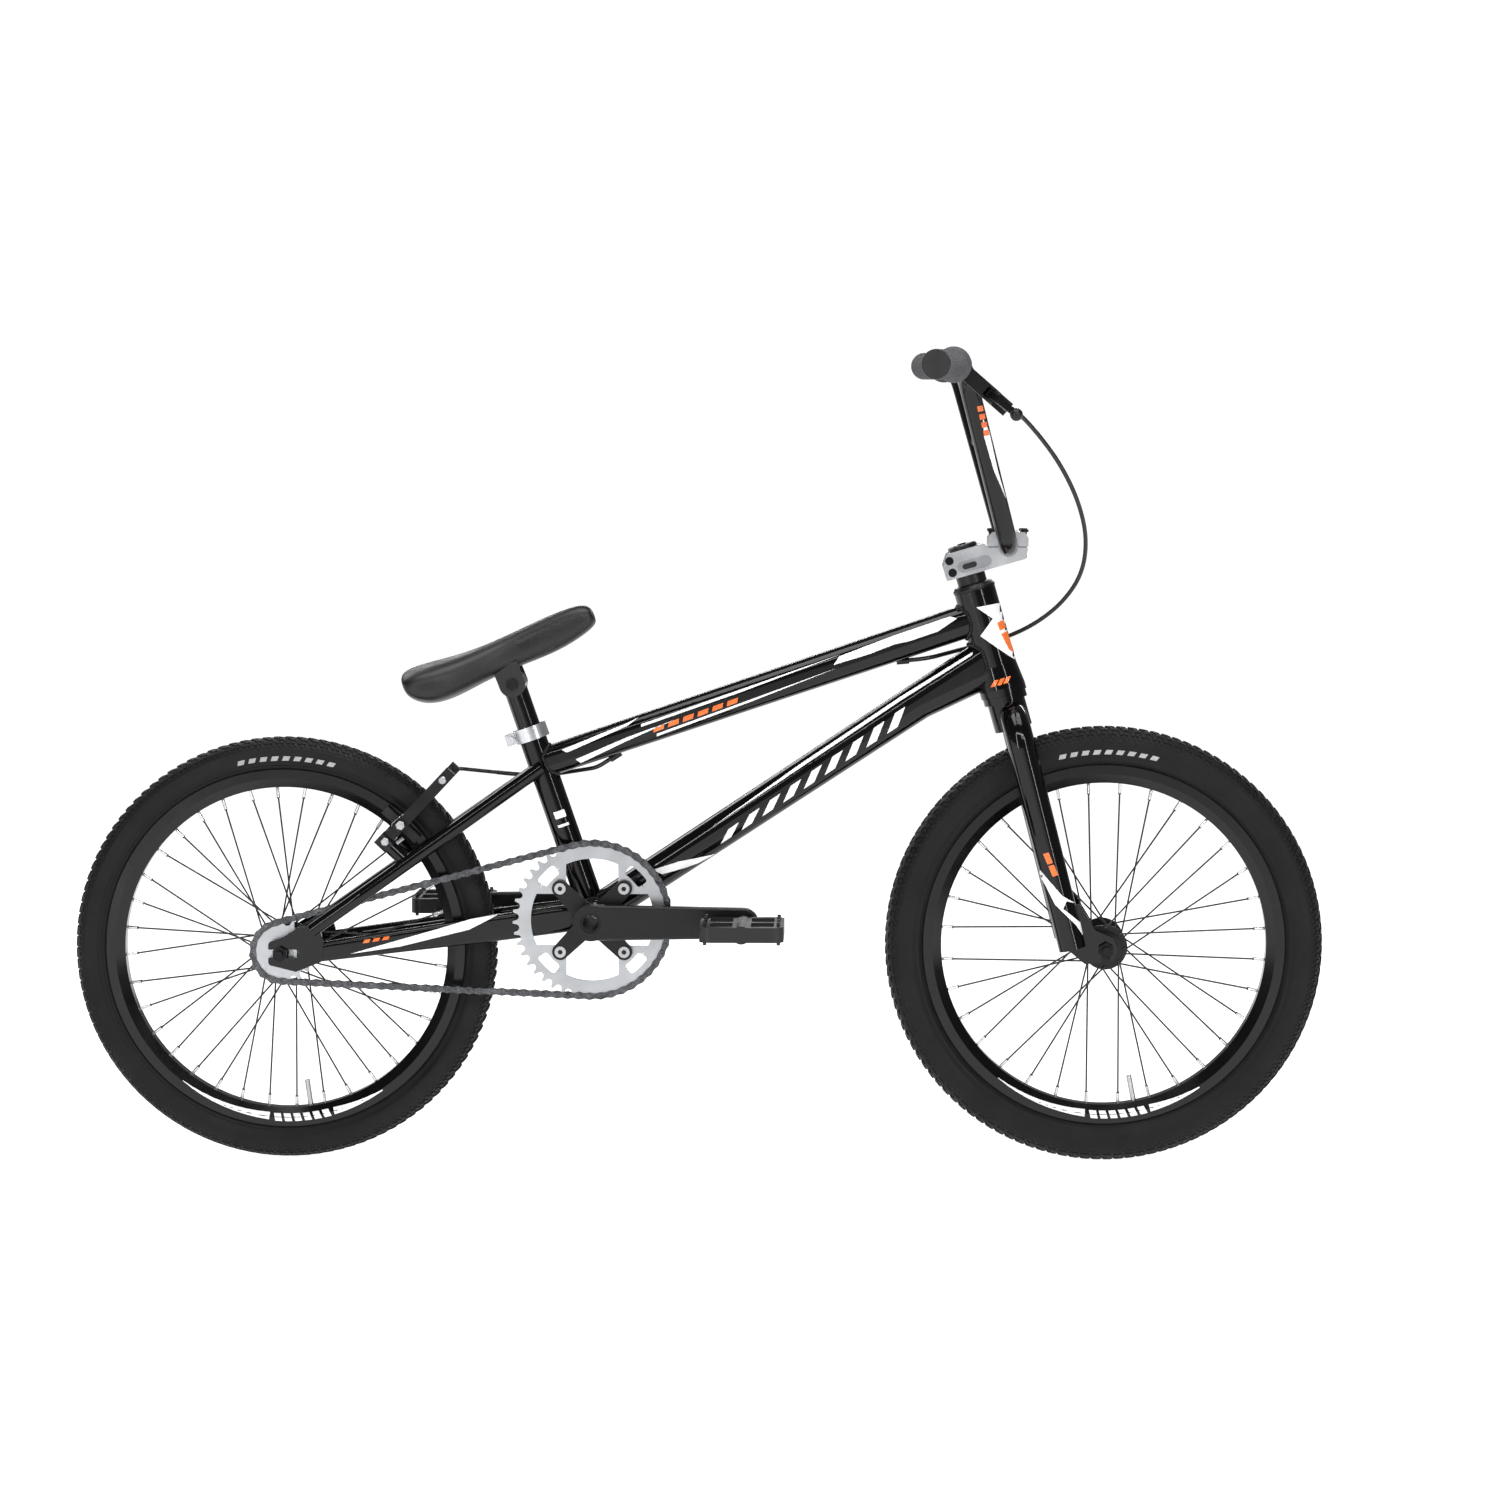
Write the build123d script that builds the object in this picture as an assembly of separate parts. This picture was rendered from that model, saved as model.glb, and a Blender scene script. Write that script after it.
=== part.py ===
"""Race BMX bicycle with 20 inch wheels, in millimetres.

+X points forward, +Y to the rider's left and +Z up. The origin is on the ground under the middle
of the bicycle. The chain runs on the rider's right, at negative Y.
"""
from build123d import *
import os
from math import atan2, cos, degrees, pi, radians, sin, sqrt, tan

# ---------------------------------------------------------------- stance and wheels
wheelbase = 950.0
rear_tyre_radius = 246.5
front_tyre_radius = 253.5
rear_tyre_width = 44.0
front_tyre_width = 50.0
rim_radius = 209.0
rim_depth = 21.0
rim_width = 31.0
rim_wall = 1.6
rim_floor_width = 16.0
rim_well_depth = 6.0
tyre_wall = 3.2
tyre_fit = 0.3
tread_width_share = 0.72
tyre_lip = 1.0
tyre_bulge_drop = 1.5
tyre_shoulder_share = 0.2
tyre_crown_drop = 2.5
tyre_crown_inset = 4.0
front_spoke_count = 32
rear_spoke_count = 36
spoke_radius = 1.0
nipple_radius = 1.9
nipple_length = 13.0
spoke_hole_radius = 22.0
spoke_crossings_turn = 40.0
flange_radius = 26.0
flange_thickness = 3.0
spoke_head_offset = 1.1
spoke_flange_lift = 1.15
nipple_seat_gap = 0.4
rim_hole_offset = 1.5
front_flange_spacing = 66.0
rear_flange_spacing = 62.0
hub_barrel_radius = 15.0
hub_end_radius = 18.0
front_spoke_phase = 5.625
rear_spoke_phase = 3.0
valve_radius = 3.1
valve_length = 30.0

# ---------------------------------------------------------------- axles
axle_radius = 4.8
running_gap = 0.05
slot_gap = 0.1
rear_dropout_spacing = 110.0
front_dropout_spacing = 100.0
dropout_thickness = 6.0
axle_collar_radius = 9.0
axle_collar_length = 3.5
nut_height = 8.0
nut_radius = 9.0
axle_free_end = 9.0
axle_end_radius = 4.5
hub_side_gap = 0.3

# ---------------------------------------------------------------- frame
bottom_bracket_height = 284.8
chain_stay_length = 361.0
seat_angle = 71.0
seat_tube_length = 233.0
seat_tube_radius = 15.9
top_tube_seat_height = 187.4
top_tube_head_rise = 395.8
down_tube_head_rise = 351.0
top_tube_sizes = ((30.0, 35.0), (38.0, 38.6))
down_tube_sizes = ((36.0, 39.0), (44.0, 43.0))
down_tube_bb_rise = 2.2
down_tube_start = 8.0
gusset_length = 75.0
gusset_depth = 14.0
tube_wall = 1.8
tube_corner_share = 0.42
bb_shell_radius = 21.0
bb_shell_width = 68.0
bb_thread_radius = 17.5
bb_cup_radius = 22.0
bb_cup_width = 9.0
bb_cup_insert = 14.0
stay_tyre_gap = 3.0
chain_stay_sizes = ((15.0, 22.5), (15.0, 31.0), (16.0, 32.0))
chain_stay_end_spread = 51.5
chain_stay_bb_spread = 24.4
chain_stay_start = (38.5, 0.4)
chain_stay_bb_rise = 3.5
chain_stay_waist = 0.65
seat_stay_radius = 8.0
seat_stay_wall = 1.2
seat_stay_top_drop = 49.0
seat_stay_top_spread = 20.0
seat_stay_foot = (36.0, 27.0)
seat_stay_foot_spread = 58.0
seat_stay_knee = 0.2
seat_stay_knee_spread = 57.0
seat_stay_bend_radius = 90.0
rear_dropout_slot = (-26.0, 17.0)
rear_dropout_outline = (
    (-14.0, 13.0), (2.0, 19.0), (22.0, 31.0), (44.0, 33.0),
    (50.0, 14.0), (48.0, -9.0), (18.0, -21.0), (-14.0, -13.0))
dropout_corner = 4.0
seat_clamp_height = 16.0
seat_clamp_wall = 4.2
seat_clamp_slit = 2.5
clamp_ear = (13.0, 16.0)
clamp_ear_height_share = 0.8
clamp_bolt_offset = 1.0
clamp_bolt_radius = 2.5
clamp_bolt_head_radius = 4.5
clamp_bolt_head_height = 4.5

# ---------------------------------------------------------------- head and steering
head_angle = 74.0
fork_rake = 32.0
head_tube_start = 302.0
head_tube_length = 125.0
head_tube_radius = 24.0
head_tube_foot_radius = 27.0
head_tube_flare = 34.0
head_bore_radius = 21.0
head_bearing_height = 8.0
steerer_radius = 14.3
steerer_wall = 2.4
crown_gap = 0.4
crown_race_height = 8.0
crown_race_radius = 25.5
crown_boss_radius = 22.0
leg_radius = 15.8
leg_wall = 1.8
leg_spread = 60.0
leg_bend_radius = 34.0
leg_shoulder_drop = 17.0
leg_foot_forward = -4.5
leg_top_forward = 3.5
leg_foot_rise = 3.0
fork_dropout_outline = (
    (9.0, -13.0), (14.0, 0.0), (9.0, 13.0), (-12.0, 22.0),
    (-30.0, 52.0), (-42.0, 52.0), (-42.0, -2.0), (-24.0, -17.0))
fork_slot = (-14.0, 0.0)
headset_cover_height = 8.0
headset_cover_top_radius = 22.0
spacer_radius = 17.0
spacer_count = 2
stem_gap_to_cover = 11.0
stem_height = 30.0
stem_width = 48.0
stem_tail = 28.0
stem_reach = 50.2
bar_rise_on_stem = 18.2
clamp_length = 46.0
clamp_width = 50.0
clamp_cap_height = 17.5
clamp_cap_gap = 1.0
stem_corner = 4.0
stem_shoulder = 9.0
stem_top_share = 0.714
stem_tail_share = 0.588
stem_slit = 2.0
stem_slit_margin = 4.0
cap_side_share = 0.6
cap_bevel = 4.0
pinch_bolt_offset = 19.2
pinch_bolt_heights = (7.6, 21.6)
bolt_radius = 3.0
bolt_head_radius = 4.9
bolt_head_height = 3.0
clamp_bolt_pitch = (36.8, 34.0)
top_cap_height = 5.0
top_cap_bevel = 1.5
cover_edge = 0.6
cover_lip = 1.5

# ---------------------------------------------------------------- handlebar and lever
bar_radius = 11.1
bar_wall = 1.6
bar_width = 724.0
bar_centre_half = 52.0
bar_rise = 208.0
bar_corner_spread = 160.0
bar_sweep_back = 56.0
grip_line_sweep = 9.9
bar_bend_radii = (40.0, 60.0)
cross_bar_share = 0.58
cross_bar_radius = 8.0
grip_radius = 16.5
grip_length = 128.0
grip_flange_radius = 20.0
grip_flange_length = 3.0
plug_radius = 15.5
plug_length = 4.0
perch_to_grip = 14.0
perch_width = 14.0
perch_ring_radius = 16.0
lever_pitch_down = 41.0
lever_pivot_reach = 50.0
lever_ear_gap = 11.0
lever_ear_thickness = 3.0
lever_ear_radius = 8.0
lever_pin_radius = 2.5
lever_thickness = 9.0
lever_side_gap = 0.5
lever_outline = (
    (-6.0, 0.0), (22.0, 3.0), (24.0, -8.0), (18.0, -30.0), (21.0, -62.0),
    (37.0, -97.0), (27.0, -99.0), (11.0, -64.0), (7.0, -30.0))
lever_tip = (32.0, -98.0)
lever_tip_radius = 7.0
lever_corner = 1.8
lever_blade_share = 0.8
cable_radius = 2.5
wire_radius = 0.8
cable_entry_share = 0.80
cable_exit_share = 0.165
port_radius = 4.2
port_length = 12.0
port_angle = 14.0
port_insert_share = 0.2
barrel_radius = 4.6
barrel_length = 16.0
barrel_reach = 68.0
barrel_lift = 3.0
barrel_holder_wall = 3.0
barrel_holder_end = 21.0

# ---------------------------------------------------------------- drive train
chain_pitch = 12.7
chainring_teeth = 44
sprocket_teeth = 17
roller_radius = 3.85
roller_seat_gap = 0.18
tooth_height = 3.0
tooth_tip_half = 1.3
tooth_seat_angle = 62.0
sprocket_thickness = 3.0
chain_line = 42.0
chain_inner_width = 3.4
chain_plate_thickness = 2.0
chain_plate_half_height = 4.2
chain_pin_radius = 1.8
chain_pin_proud = 0.7
crank_length = 175.0
crank_thickness = 13.0
crank_inner_face = 62.0
crank_root_radius = 20.5
crank_tip_radius = 17.5
crank_edge_radius = 3.0
crank_boss_gap = 1.0
crank_boss_radius = 21.0
spindle_radius = 12.0
spindle_bore = 9.0
chainring_bolt_circle = 104.0
chainring_bolt_count = 4
chainring_bolt_radius = 4.0
chainring_bolt_head = 6.5
chainring_bolt_head_height = 2.0
chainring_tab_radius = 9.5
chainring_inner_radius = 71.0
chainring_arm_half_angle = 21.0
chainring_window_radii = (65.0, 78.0)
chainring_window_angle = 20.0
chainring_arm_overlap = 3.0
spider_root_share = 1.3
spider_thickness = 5.5
spider_arm_radius = 9.5
pedal_axle_radius = 6.0
pedal_thread_radius = 7.0
pedal_collar_radius = 9.0
pedal_collar_length = 3.0
pedal_gap = 0.5
pedal_width = 100.0
pedal_depth = 95.0
pedal_height = 17.0
pedal_rail = 11.0
pedal_corner = 12.0
pedal_hub_radius = 10.3
pedal_end_wall = 5.0
pedal_rib = 8.0
pedal_pin_radius = 2.0
pedal_pin_height = 4.5
pedal_pin_inset = 6.0
pedal_pin_shares = (-0.78, -0.26, 0.26, 0.78)
pedal_window_corner = 3.0

# ---------------------------------------------------------------- brake
brake_pivot_distance = 175.0
brake_line_angle = 46.9
brake_post_stand_off = 30.0
brake_post_radius = 4.0
brake_boss_radius = 8.0
brake_arm_spread = 42.0
brake_arm_top_spread = 36.0
brake_arm_length = 112.0
brake_arm_thickness = 8.0
brake_arm_width = 13.0
brake_hub_radius = 9.0
brake_hub_length = 18.0
pad_track_radius = 200.0
pad_rim_gap = 1.5
pad_thickness = 10.0
pad_height = 10.0
pad_length = 52.0
pad_stud_radius = 3.0
pad_nut_radius = 6.0
pad_nut_height = 5.0

# ---------------------------------------------------------------- seat
post_radius = 13.6
post_wall = 2.4
post_insert = 125.0
post_gap = 0.05
post_head_distance = 286.0
post_head_radius = 15.0
post_head_width = 34.0
saddle_tilt = 21.5
saddle_base_top = 24.0
saddle_base_thickness = 5.0
saddle_base_reach = (-66.0, 62.0)
saddle_stations = (
    (117.0, 24.0, 32.0, 44.0), (104.0, 34.0, 30.0, 56.0), (60.0, 38.0, 26.0, 56.0), (0.0, 52.0, 22.0, 51.0),
    (-42.0, 94.0, 14.0, 52.0), (-76.0, 128.0, 9.0, 55.0), (-104.0, 132.0, 22.0, 58.0),
    (-117.0, 118.0, 37.0, 55.0))
cheek_thickness = 6.0
cheek_gap = 0.4
saddle_pin_radius = 4.0
saddle_pin_head_radius = 7.2
saddle_pin_head_height = 4.0
saddle_corner_share = 0.4

# ---------------------------------------------------------------- derived places
rear_axle_x = (rear_tyre_radius - front_tyre_radius - wheelbase) / 2
front_axle_x = rear_axle_x + wheelbase
rear_axle = Vector(rear_axle_x, 0, rear_tyre_radius)
front_axle = Vector(front_axle_x, 0, front_tyre_radius)
bb_rise = bottom_bracket_height - rear_tyre_radius
bottom_bracket = Vector(rear_axle_x + sqrt(chain_stay_length**2 - bb_rise**2), 0, bottom_bracket_height)
head_lean = radians(90 - head_angle)
steer_up = Vector(-sin(head_lean), 0, cos(head_lean))
steer_forward = Vector(cos(head_lean), 0, sin(head_lean))
steer_foot = front_axle - Vector(fork_rake / cos(head_lean), 0, 0)
steering = Plane(origin=steer_foot, x_dir=steer_forward, z_dir=steer_up)
seat_up = Vector(-cos(radians(seat_angle)), 0, sin(radians(seat_angle)))
seat_plane = Plane(origin=bottom_bracket, x_dir=(seat_up.Z, 0, -seat_up.X), z_dir=seat_up)
head_tube_top = head_tube_start + head_tube_length
left = Vector(0, 1, 0)
sides = {"right": -1, "left": 1}


# ---------------------------------------------------------------- shape helpers
def steer_point(forward, up, across=0.0):
    """Point given ahead of the steering axis, along it and across the bicycle."""
    return steer_foot + steer_forward * forward + steer_up * up + left * across


def rod(start, end, radius, bore=0.0):
    """Round bar or tube between two points."""
    run = Vector(end) - Vector(start)
    section = Circle(radius)
    if bore > 0:
        section = section - Circle(bore)
    return extrude(Plane(origin=start, z_dir=run) * section, run.length)


def across(centre, radius, low, high, bore=0.0):
    """Round bar or tube along Y through a centre, from one Y to the other."""
    start = Vector(centre.X, low, centre.Z)
    end = Vector(centre.X, high, centre.Z)
    return rod(start, end, radius, bore)


def turned(centre, profile):
    """Body turned about the Y axis through a centre, from a closed (radius, y) outline."""
    outline = make_face(Polyline(*profile, close=True))
    return Pos(centre.X, 0, centre.Z) * revolve(outline, Axis.Y, 360)


def side_plate(centre, outline, low, high, corner=0.0):
    """Flat plate from an (x, z) outline about a centre, between two Y values."""
    points = [(x + centre.X, high, z + centre.Z) for x, z in outline]
    face = make_face(Polyline(*points, close=True))
    if corner > 0:
        face = fillet(face.vertices(), corner)
    return extrude(face, high - low, dir=(0, -1, 0))


def section_plane(point, direction):
    """Plane square to a run, with its own X across the bicycle."""
    return Plane(origin=point, x_dir=left, z_dir=direction)


def tapered_tube(stations, wall):
    """Hollow tube through (point, width, height) stations with rounded corners, open at both ends."""
    spine = stations[-1][0] - stations[0][0]
    outer = []
    inner = []
    for point, width, height in stations:
        plane = section_plane(point, spine)
        corner = tube_corner_share * min(width, height)
        outer.append(plane * RectangleRounded(width, height, corner))
        inner.append(plane * RectangleRounded(width - 2 * wall, height - 2 * wall, corner - wall))
    return loft(outer, ruled=True) - loft(inner, ruled=True)


def hexagon(start, direction, radius, height, bore=0.0):
    """Six-sided nut or bolt head that stands on a point."""
    section = RegularPolygon(radius, 6)
    if bore > 0:
        section = section - Circle(bore)
    return extrude(Plane(origin=start, z_dir=direction) * section, height)


def group(*solids):
    """Separate solids that share one node."""
    return Compound(children=[solid for piece in solids for solid in piece.solids()])


# ---------------------------------------------------------------- frame
top_tube_seat_point = bottom_bracket + seat_up * top_tube_seat_height
top_tube_head_point = steer_point(0, top_tube_head_rise)
down_tube_head_point = steer_point(0, down_tube_head_rise)
down_tube_line = (down_tube_head_point - bottom_bracket - Vector(0, 0, down_tube_bb_rise)).normalized()
down_tube_seat_point = bottom_bracket + Vector(0, 0, down_tube_bb_rise) + down_tube_line * down_tube_start
seat_stay_top = bottom_bracket + seat_up * (seat_tube_length - seat_stay_top_drop)
seat_stay_foot_point = rear_axle + Vector(seat_stay_foot[0], 0, seat_stay_foot[1])
chain_stay_foot = rear_axle + Vector(chain_stay_start[0], 0, chain_stay_start[1])
chain_stay_end = bottom_bracket + Vector(0, 0, chain_stay_bb_rise)
seat_tube_top = bottom_bracket + seat_up * seat_tube_length


def head_tube_blank():
    """Solid of the head tube's outside, with its flared foot."""
    foot = head_tube_start
    profile = [(0, foot), (head_tube_foot_radius, foot), (head_tube_foot_radius, foot + head_bearing_height),
               (head_tube_radius, foot + head_tube_flare), (head_tube_radius, head_tube_top), (0, head_tube_top)]
    outline = make_face(Polyline(*[(radius, 0, height) for radius, height in profile], close=True))
    return steering.location * revolve(outline, Axis.Z, 360)


def seat_tube_blank(length=seat_tube_length):
    """Solid of the seat tube's outside."""
    return rod(bottom_bracket, bottom_bracket + seat_up * length, seat_tube_radius)


def bb_blank():
    """Solid of the bottom bracket shell's outside."""
    return across(bottom_bracket, bb_shell_radius, -bb_shell_width / 2, bb_shell_width / 2)


def make_head_tube():
    """Head tube with its through bore."""
    bore = rod(steer_point(0, head_tube_start), steer_point(0, head_tube_top), head_bore_radius)
    return head_tube_blank() - bore


def make_headset_bearings():
    """One bearing in each end of the head tube."""
    rings = []
    for low in (head_tube_start, head_tube_top - head_bearing_height):
        bore = steerer_radius + running_gap
        high = low + head_bearing_height
        rings.append(rod(steer_point(0, low), steer_point(0, high), head_bore_radius, bore))
    return group(*rings)


def top_tube_underside(share):
    """Point on the underside of the top tube at a share of its length."""
    run = top_tube_head_point - top_tube_seat_point
    heights = [size[1] for size in top_tube_sizes]
    depth = (heights[0] + (heights[1] - heights[0]) * share) / 2
    return top_tube_seat_point + run * share + run.normalized().cross(left) * -depth


def port_ends(share):
    """Inner end and mouth of a cable port; the mouth faces the nearer end of the top tube."""
    run = (top_tube_head_point - top_tube_seat_point).normalized()
    downward = run.cross(left) * -1
    outward = run if share > 0.5 else run * -1
    direction = (outward * cos(radians(port_angle)) + downward * sin(radians(port_angle))).normalized()
    surface = top_tube_underside(share)
    return surface - direction * port_length * port_insert_share, surface + direction * port_length, direction


def cable_port(share):
    """Short guide on the underside of the top tube that a cable passes into."""
    inner, mouth = port_ends(share)[:2]
    return rod(inner, mouth, port_radius)


def make_top_tube():
    """Top tube from the seat tube to the head tube, with its two cable ports."""
    stations = [(top_tube_seat_point, *top_tube_sizes[0]), (top_tube_head_point, *top_tube_sizes[1])]
    tube = tapered_tube(stations, tube_wall) - head_tube_blank() - seat_tube_blank()
    return tube + cable_port(cable_entry_share) + cable_port(cable_exit_share)


def down_tube_body():
    """Down tube before its ends are cut, deeper under the head tube."""
    run = down_tube_head_point - down_tube_seat_point
    direction = run.normalized()
    downward = direction.cross(left) * -1
    start_share = (run.length - head_tube_foot_radius - gusset_length) / run.length
    width_low, height_low = down_tube_sizes[0]
    width_high, height_high = down_tube_sizes[1]
    gusset_start = down_tube_seat_point + direction * (run.length * start_share)
    width = width_low + (width_high - width_low) * start_share
    height = height_low + (height_high - height_low) * start_share
    head_end = down_tube_head_point + downward * (gusset_depth / 2)
    stations = [(down_tube_seat_point, width_low, height_low), (gusset_start, width, height),
                (head_end, width_high, height_high + gusset_depth)]
    return tapered_tube(stations, tube_wall)


def make_down_tube():
    """Down tube fitted to its neighbours."""
    tube = down_tube_body() - head_tube_blank() - seat_tube_blank() - bb_blank()
    return tube - loft([section_plane(point, top_tube_head_point - top_tube_seat_point)
                        * RectangleRounded(width, height, tube_corner_share * min(width, height))
                        for point, (width, height) in
                        zip((top_tube_seat_point, top_tube_head_point), top_tube_sizes)], ruled=True)


def make_seat_tube():
    """Seat tube bored for the post, standing on the bottom bracket shell."""
    bore = rod(bottom_bracket, seat_tube_top, post_radius + post_gap)
    return seat_tube_blank() - bore - bb_blank()


def make_bb_shell():
    """Threaded shell for the bearing cups."""
    half = bb_shell_width / 2
    return across(bottom_bracket, bb_shell_radius, -half, half, bb_thread_radius)


def make_bb_cups():
    """Outboard bearing cup on each side, with its threaded insert."""
    cups = []
    for side in sides.values():
        face = side * bb_shell_width / 2
        outer = across(bottom_bracket, bb_cup_radius, *sorted((face, face + side * bb_cup_width)))
        insert = across(bottom_bracket, bb_thread_radius, *sorted((face, face - side * bb_cup_insert)))
        bore = across(bottom_bracket, spindle_radius + running_gap, *sorted((face - side * bb_cup_insert,
                                                                             face + side * bb_cup_width)))
        cups.append(outer + insert - bore)
    return group(*cups)


def rear_dropout_plate(side):
    """Slotted plate that holds one end of the rear axle."""
    inner = rear_dropout_spacing / 2
    low, high = sorted((side * inner, side * (inner + dropout_thickness)))
    plate = side_plate(rear_axle, rear_dropout_outline, low, high, dropout_corner)
    half = axle_radius + slot_gap
    slot = across(rear_axle + Vector(rear_dropout_slot[1], 0, 0), half, low, high)
    outline = [(rear_dropout_slot[0], -half), (rear_dropout_slot[1], -half), (rear_dropout_slot[1], half),
               (rear_dropout_slot[0], half)]
    return plate - slot - side_plate(rear_axle, outline, low, high)


def make_chain_stay(side):
    """Chain stay that draws in past the tyre to the bottom bracket shell."""
    run = chain_stay_end - chain_stay_foot
    waist_spread = rear_tyre_width / 2 + stay_tyre_gap + chain_stay_sizes[1][0] / 2
    stations = [(chain_stay_foot + left * (side * chain_stay_end_spread), *chain_stay_sizes[0]),
                (chain_stay_foot + run * chain_stay_waist + left * (side * waist_spread), *chain_stay_sizes[1]),
                (chain_stay_end + left * (side * chain_stay_bb_spread), *chain_stay_sizes[2])]
    outer = []
    inner = []
    for point, width, height in stations:
        plane = section_plane(point, run)
        corner = tube_corner_share * width
        outer.append(plane * RectangleRounded(width, height, corner))
        size = (width - 2 * tube_wall, height - 2 * tube_wall)
        inner.append(plane * RectangleRounded(*size, corner - tube_wall))
    tube = loft(outer, ruled=True) - loft(inner, ruled=True)
    return tube - bb_blank() - rear_dropout_plate(side)


def seat_stay_ends(side):
    """Centre points of a seat stay's two ends."""
    top = seat_stay_top + left * (side * seat_stay_top_spread)
    foot = seat_stay_foot_point + left * (side * seat_stay_foot_spread)
    return foot, top


def seat_stay_path(side):
    """Centre line of a seat stay, kept out beside the chain before it turns in to the seat tube."""
    foot, top = seat_stay_ends(side)
    knee = foot + (top - foot) * seat_stay_knee
    knee = Vector(knee.X, side * seat_stay_knee_spread, knee.Z)
    return FilletPolyline(foot, knee, top, radius=[seat_stay_bend_radius])


def seat_stay_blank(side, radius):
    """Seat stay's outside, or its bore, at a radius."""
    path = seat_stay_path(side)
    return sweep(Plane(origin=path @ 0, z_dir=path % 0) * Circle(radius), path=path)


def make_seat_stay(side):
    """Seat stay from the dropout to the seat tube."""
    tube = seat_stay_blank(side, seat_stay_radius) - seat_stay_blank(side, seat_stay_radius - seat_stay_wall)
    return tube - seat_tube_blank() - rear_dropout_plate(side)


# ---------------------------------------------------------------- brake
brake_radial = Vector(cos(radians(brake_line_angle)), 0, sin(radians(brake_line_angle)))
brake_tangent = Vector(-brake_radial.Z, 0, brake_radial.X)
brake_pivot = rear_axle + brake_radial * brake_pivot_distance


def brake_point(radial, tangent, y):
    """Point given outwards from the brake pivot, along its axis and across."""
    return brake_pivot + brake_radial * radial + brake_tangent * tangent + left * y


def brake_block(side, radial, y, tangent):
    """Box between pairs of radial, across and tangent distances, on one side."""
    plane = Plane(origin=brake_pivot, x_dir=brake_radial, z_dir=brake_tangent)
    size = (radial[1] - radial[0], y[1] - y[0], tangent[1] - tangent[0])
    centre = ((radial[0] + radial[1]) / 2, (y[0] + y[1]) / 2, (tangent[0] + tangent[1]) / 2)
    towards = plane.y_dir.Y * side
    return plane.location * Pos(centre[0], towards * centre[1], centre[2]) * Box(*size)


def make_brake_posts():
    """Brake boss and post on each seat stay."""
    posts = []
    for side in sides.values():
        y = side * brake_arm_spread
        base = brake_point(0, -brake_post_stand_off, y)
        shoulder = brake_point(0, -brake_hub_length / 2, y)
        end = brake_point(0, brake_hub_length / 2, y)
        boss = rod(base, shoulder, brake_boss_radius) + rod(shoulder, end, brake_post_radius)
        posts.append(boss - seat_stay_blank(side, seat_stay_radius))
    return group(*[post.solids().sort_by(SortBy.VOLUME)[-1] for post in posts])


def make_brake_arm(side):
    """Brake arm with its pivot hub; the pad stud passes through it."""
    y = side * brake_arm_spread
    half_hub = brake_hub_length / 2
    hub = rod(brake_point(0, -half_hub + running_gap, y), brake_point(0, half_hub, y), brake_hub_radius)
    half = brake_arm_thickness / 2
    plane = Plane(origin=brake_pivot, x_dir=brake_radial, z_dir=brake_tangent)
    sign = plane.y_dir.Y * side
    low_y = brake_arm_spread
    high_y = brake_arm_top_spread
    outline = [(0, sign * (low_y - half)), (brake_arm_length, sign * (high_y - half)),
               (brake_arm_length, sign * (high_y + half)), (0, sign * (low_y + half))]
    blade_face = make_face(Polyline(*outline, close=True))
    blade = plane.location * extrude(blade_face, brake_arm_width / 2, both=True)
    stud_place = pad_track_radius - brake_pivot_distance
    stud = rod(brake_point(stud_place, 0, side * (low_y - brake_hub_radius)),
               brake_point(stud_place, 0, side * (low_y + brake_hub_radius)), pad_stud_radius)
    bore = rod(brake_point(0, -brake_hub_length, y), brake_point(0, brake_hub_length, y),
               brake_post_radius + running_gap)
    return hub + blade - bore - stud


def make_brake_pad(side):
    """Brake pad on its threaded stud, with the nut outside the arm."""
    place = pad_track_radius - brake_pivot_distance
    inner = rim_width / 2 + pad_rim_gap
    block = brake_block(side, (place - pad_height / 2, place + pad_height / 2),
                        (inner, inner + pad_thickness), (-pad_length / 2, pad_length / 2))
    arm_face = brake_arm_spread + (brake_arm_top_spread - brake_arm_spread) * place / brake_arm_length
    arm_face += brake_arm_thickness / 2 + pad_stud_radius / 5
    stud = rod(brake_point(place, 0, side * (inner + pad_thickness)),
               brake_point(place, 0, side * (arm_face + pad_nut_height)), pad_stud_radius)
    nut = hexagon(brake_point(place, 0, side * arm_face), left * side, pad_nut_radius, pad_nut_height)
    return block + stud + nut


# ---------------------------------------------------------------- axles and wheels
def make_axle(centre, spacing, thickness):
    """Threaded axle with a cone collar against each dropout and a turned end past each nut."""
    inner = spacing / 2
    threads = inner + thickness + nut_height
    end = threads + axle_free_end
    axle = across(centre, axle_radius, -threads, threads) + across(centre, axle_end_radius, -end, end)
    for side in sides.values():
        low, high = sorted((side * (inner - axle_collar_length), side * inner))
        axle += across(centre, axle_collar_radius, low, high)
    return axle


def make_axle_nuts(centre, spacing, thickness):
    """Nut on each end of an axle."""
    nuts = []
    for side in sides.values():
        start = centre + left * (side * (spacing / 2 + thickness))
        nuts.append(hexagon(start, left * side, nut_radius, nut_height, axle_radius))
    return group(*nuts)


def make_hub(centre, spacing, flange_spacing, right_end):
    """Hub shell with two spoke flanges, running on its axle."""
    bore = axle_radius + running_gap
    left_end = spacing / 2 - axle_collar_length - hub_side_gap
    half = flange_thickness / 2
    right = -flange_spacing / 2
    left_flange = flange_spacing / 2
    profile = [(bore, -right_end), (hub_end_radius, -right_end), (hub_end_radius, right - half),
               (flange_radius, right - half), (flange_radius, right + half), (hub_barrel_radius, right + half),
               (hub_barrel_radius, left_flange - half), (flange_radius, left_flange - half),
               (flange_radius, left_flange + half), (hub_end_radius, left_flange + half),
               (hub_end_radius, left_end), (bore, left_end)]
    return turned(centre, profile)


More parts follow.
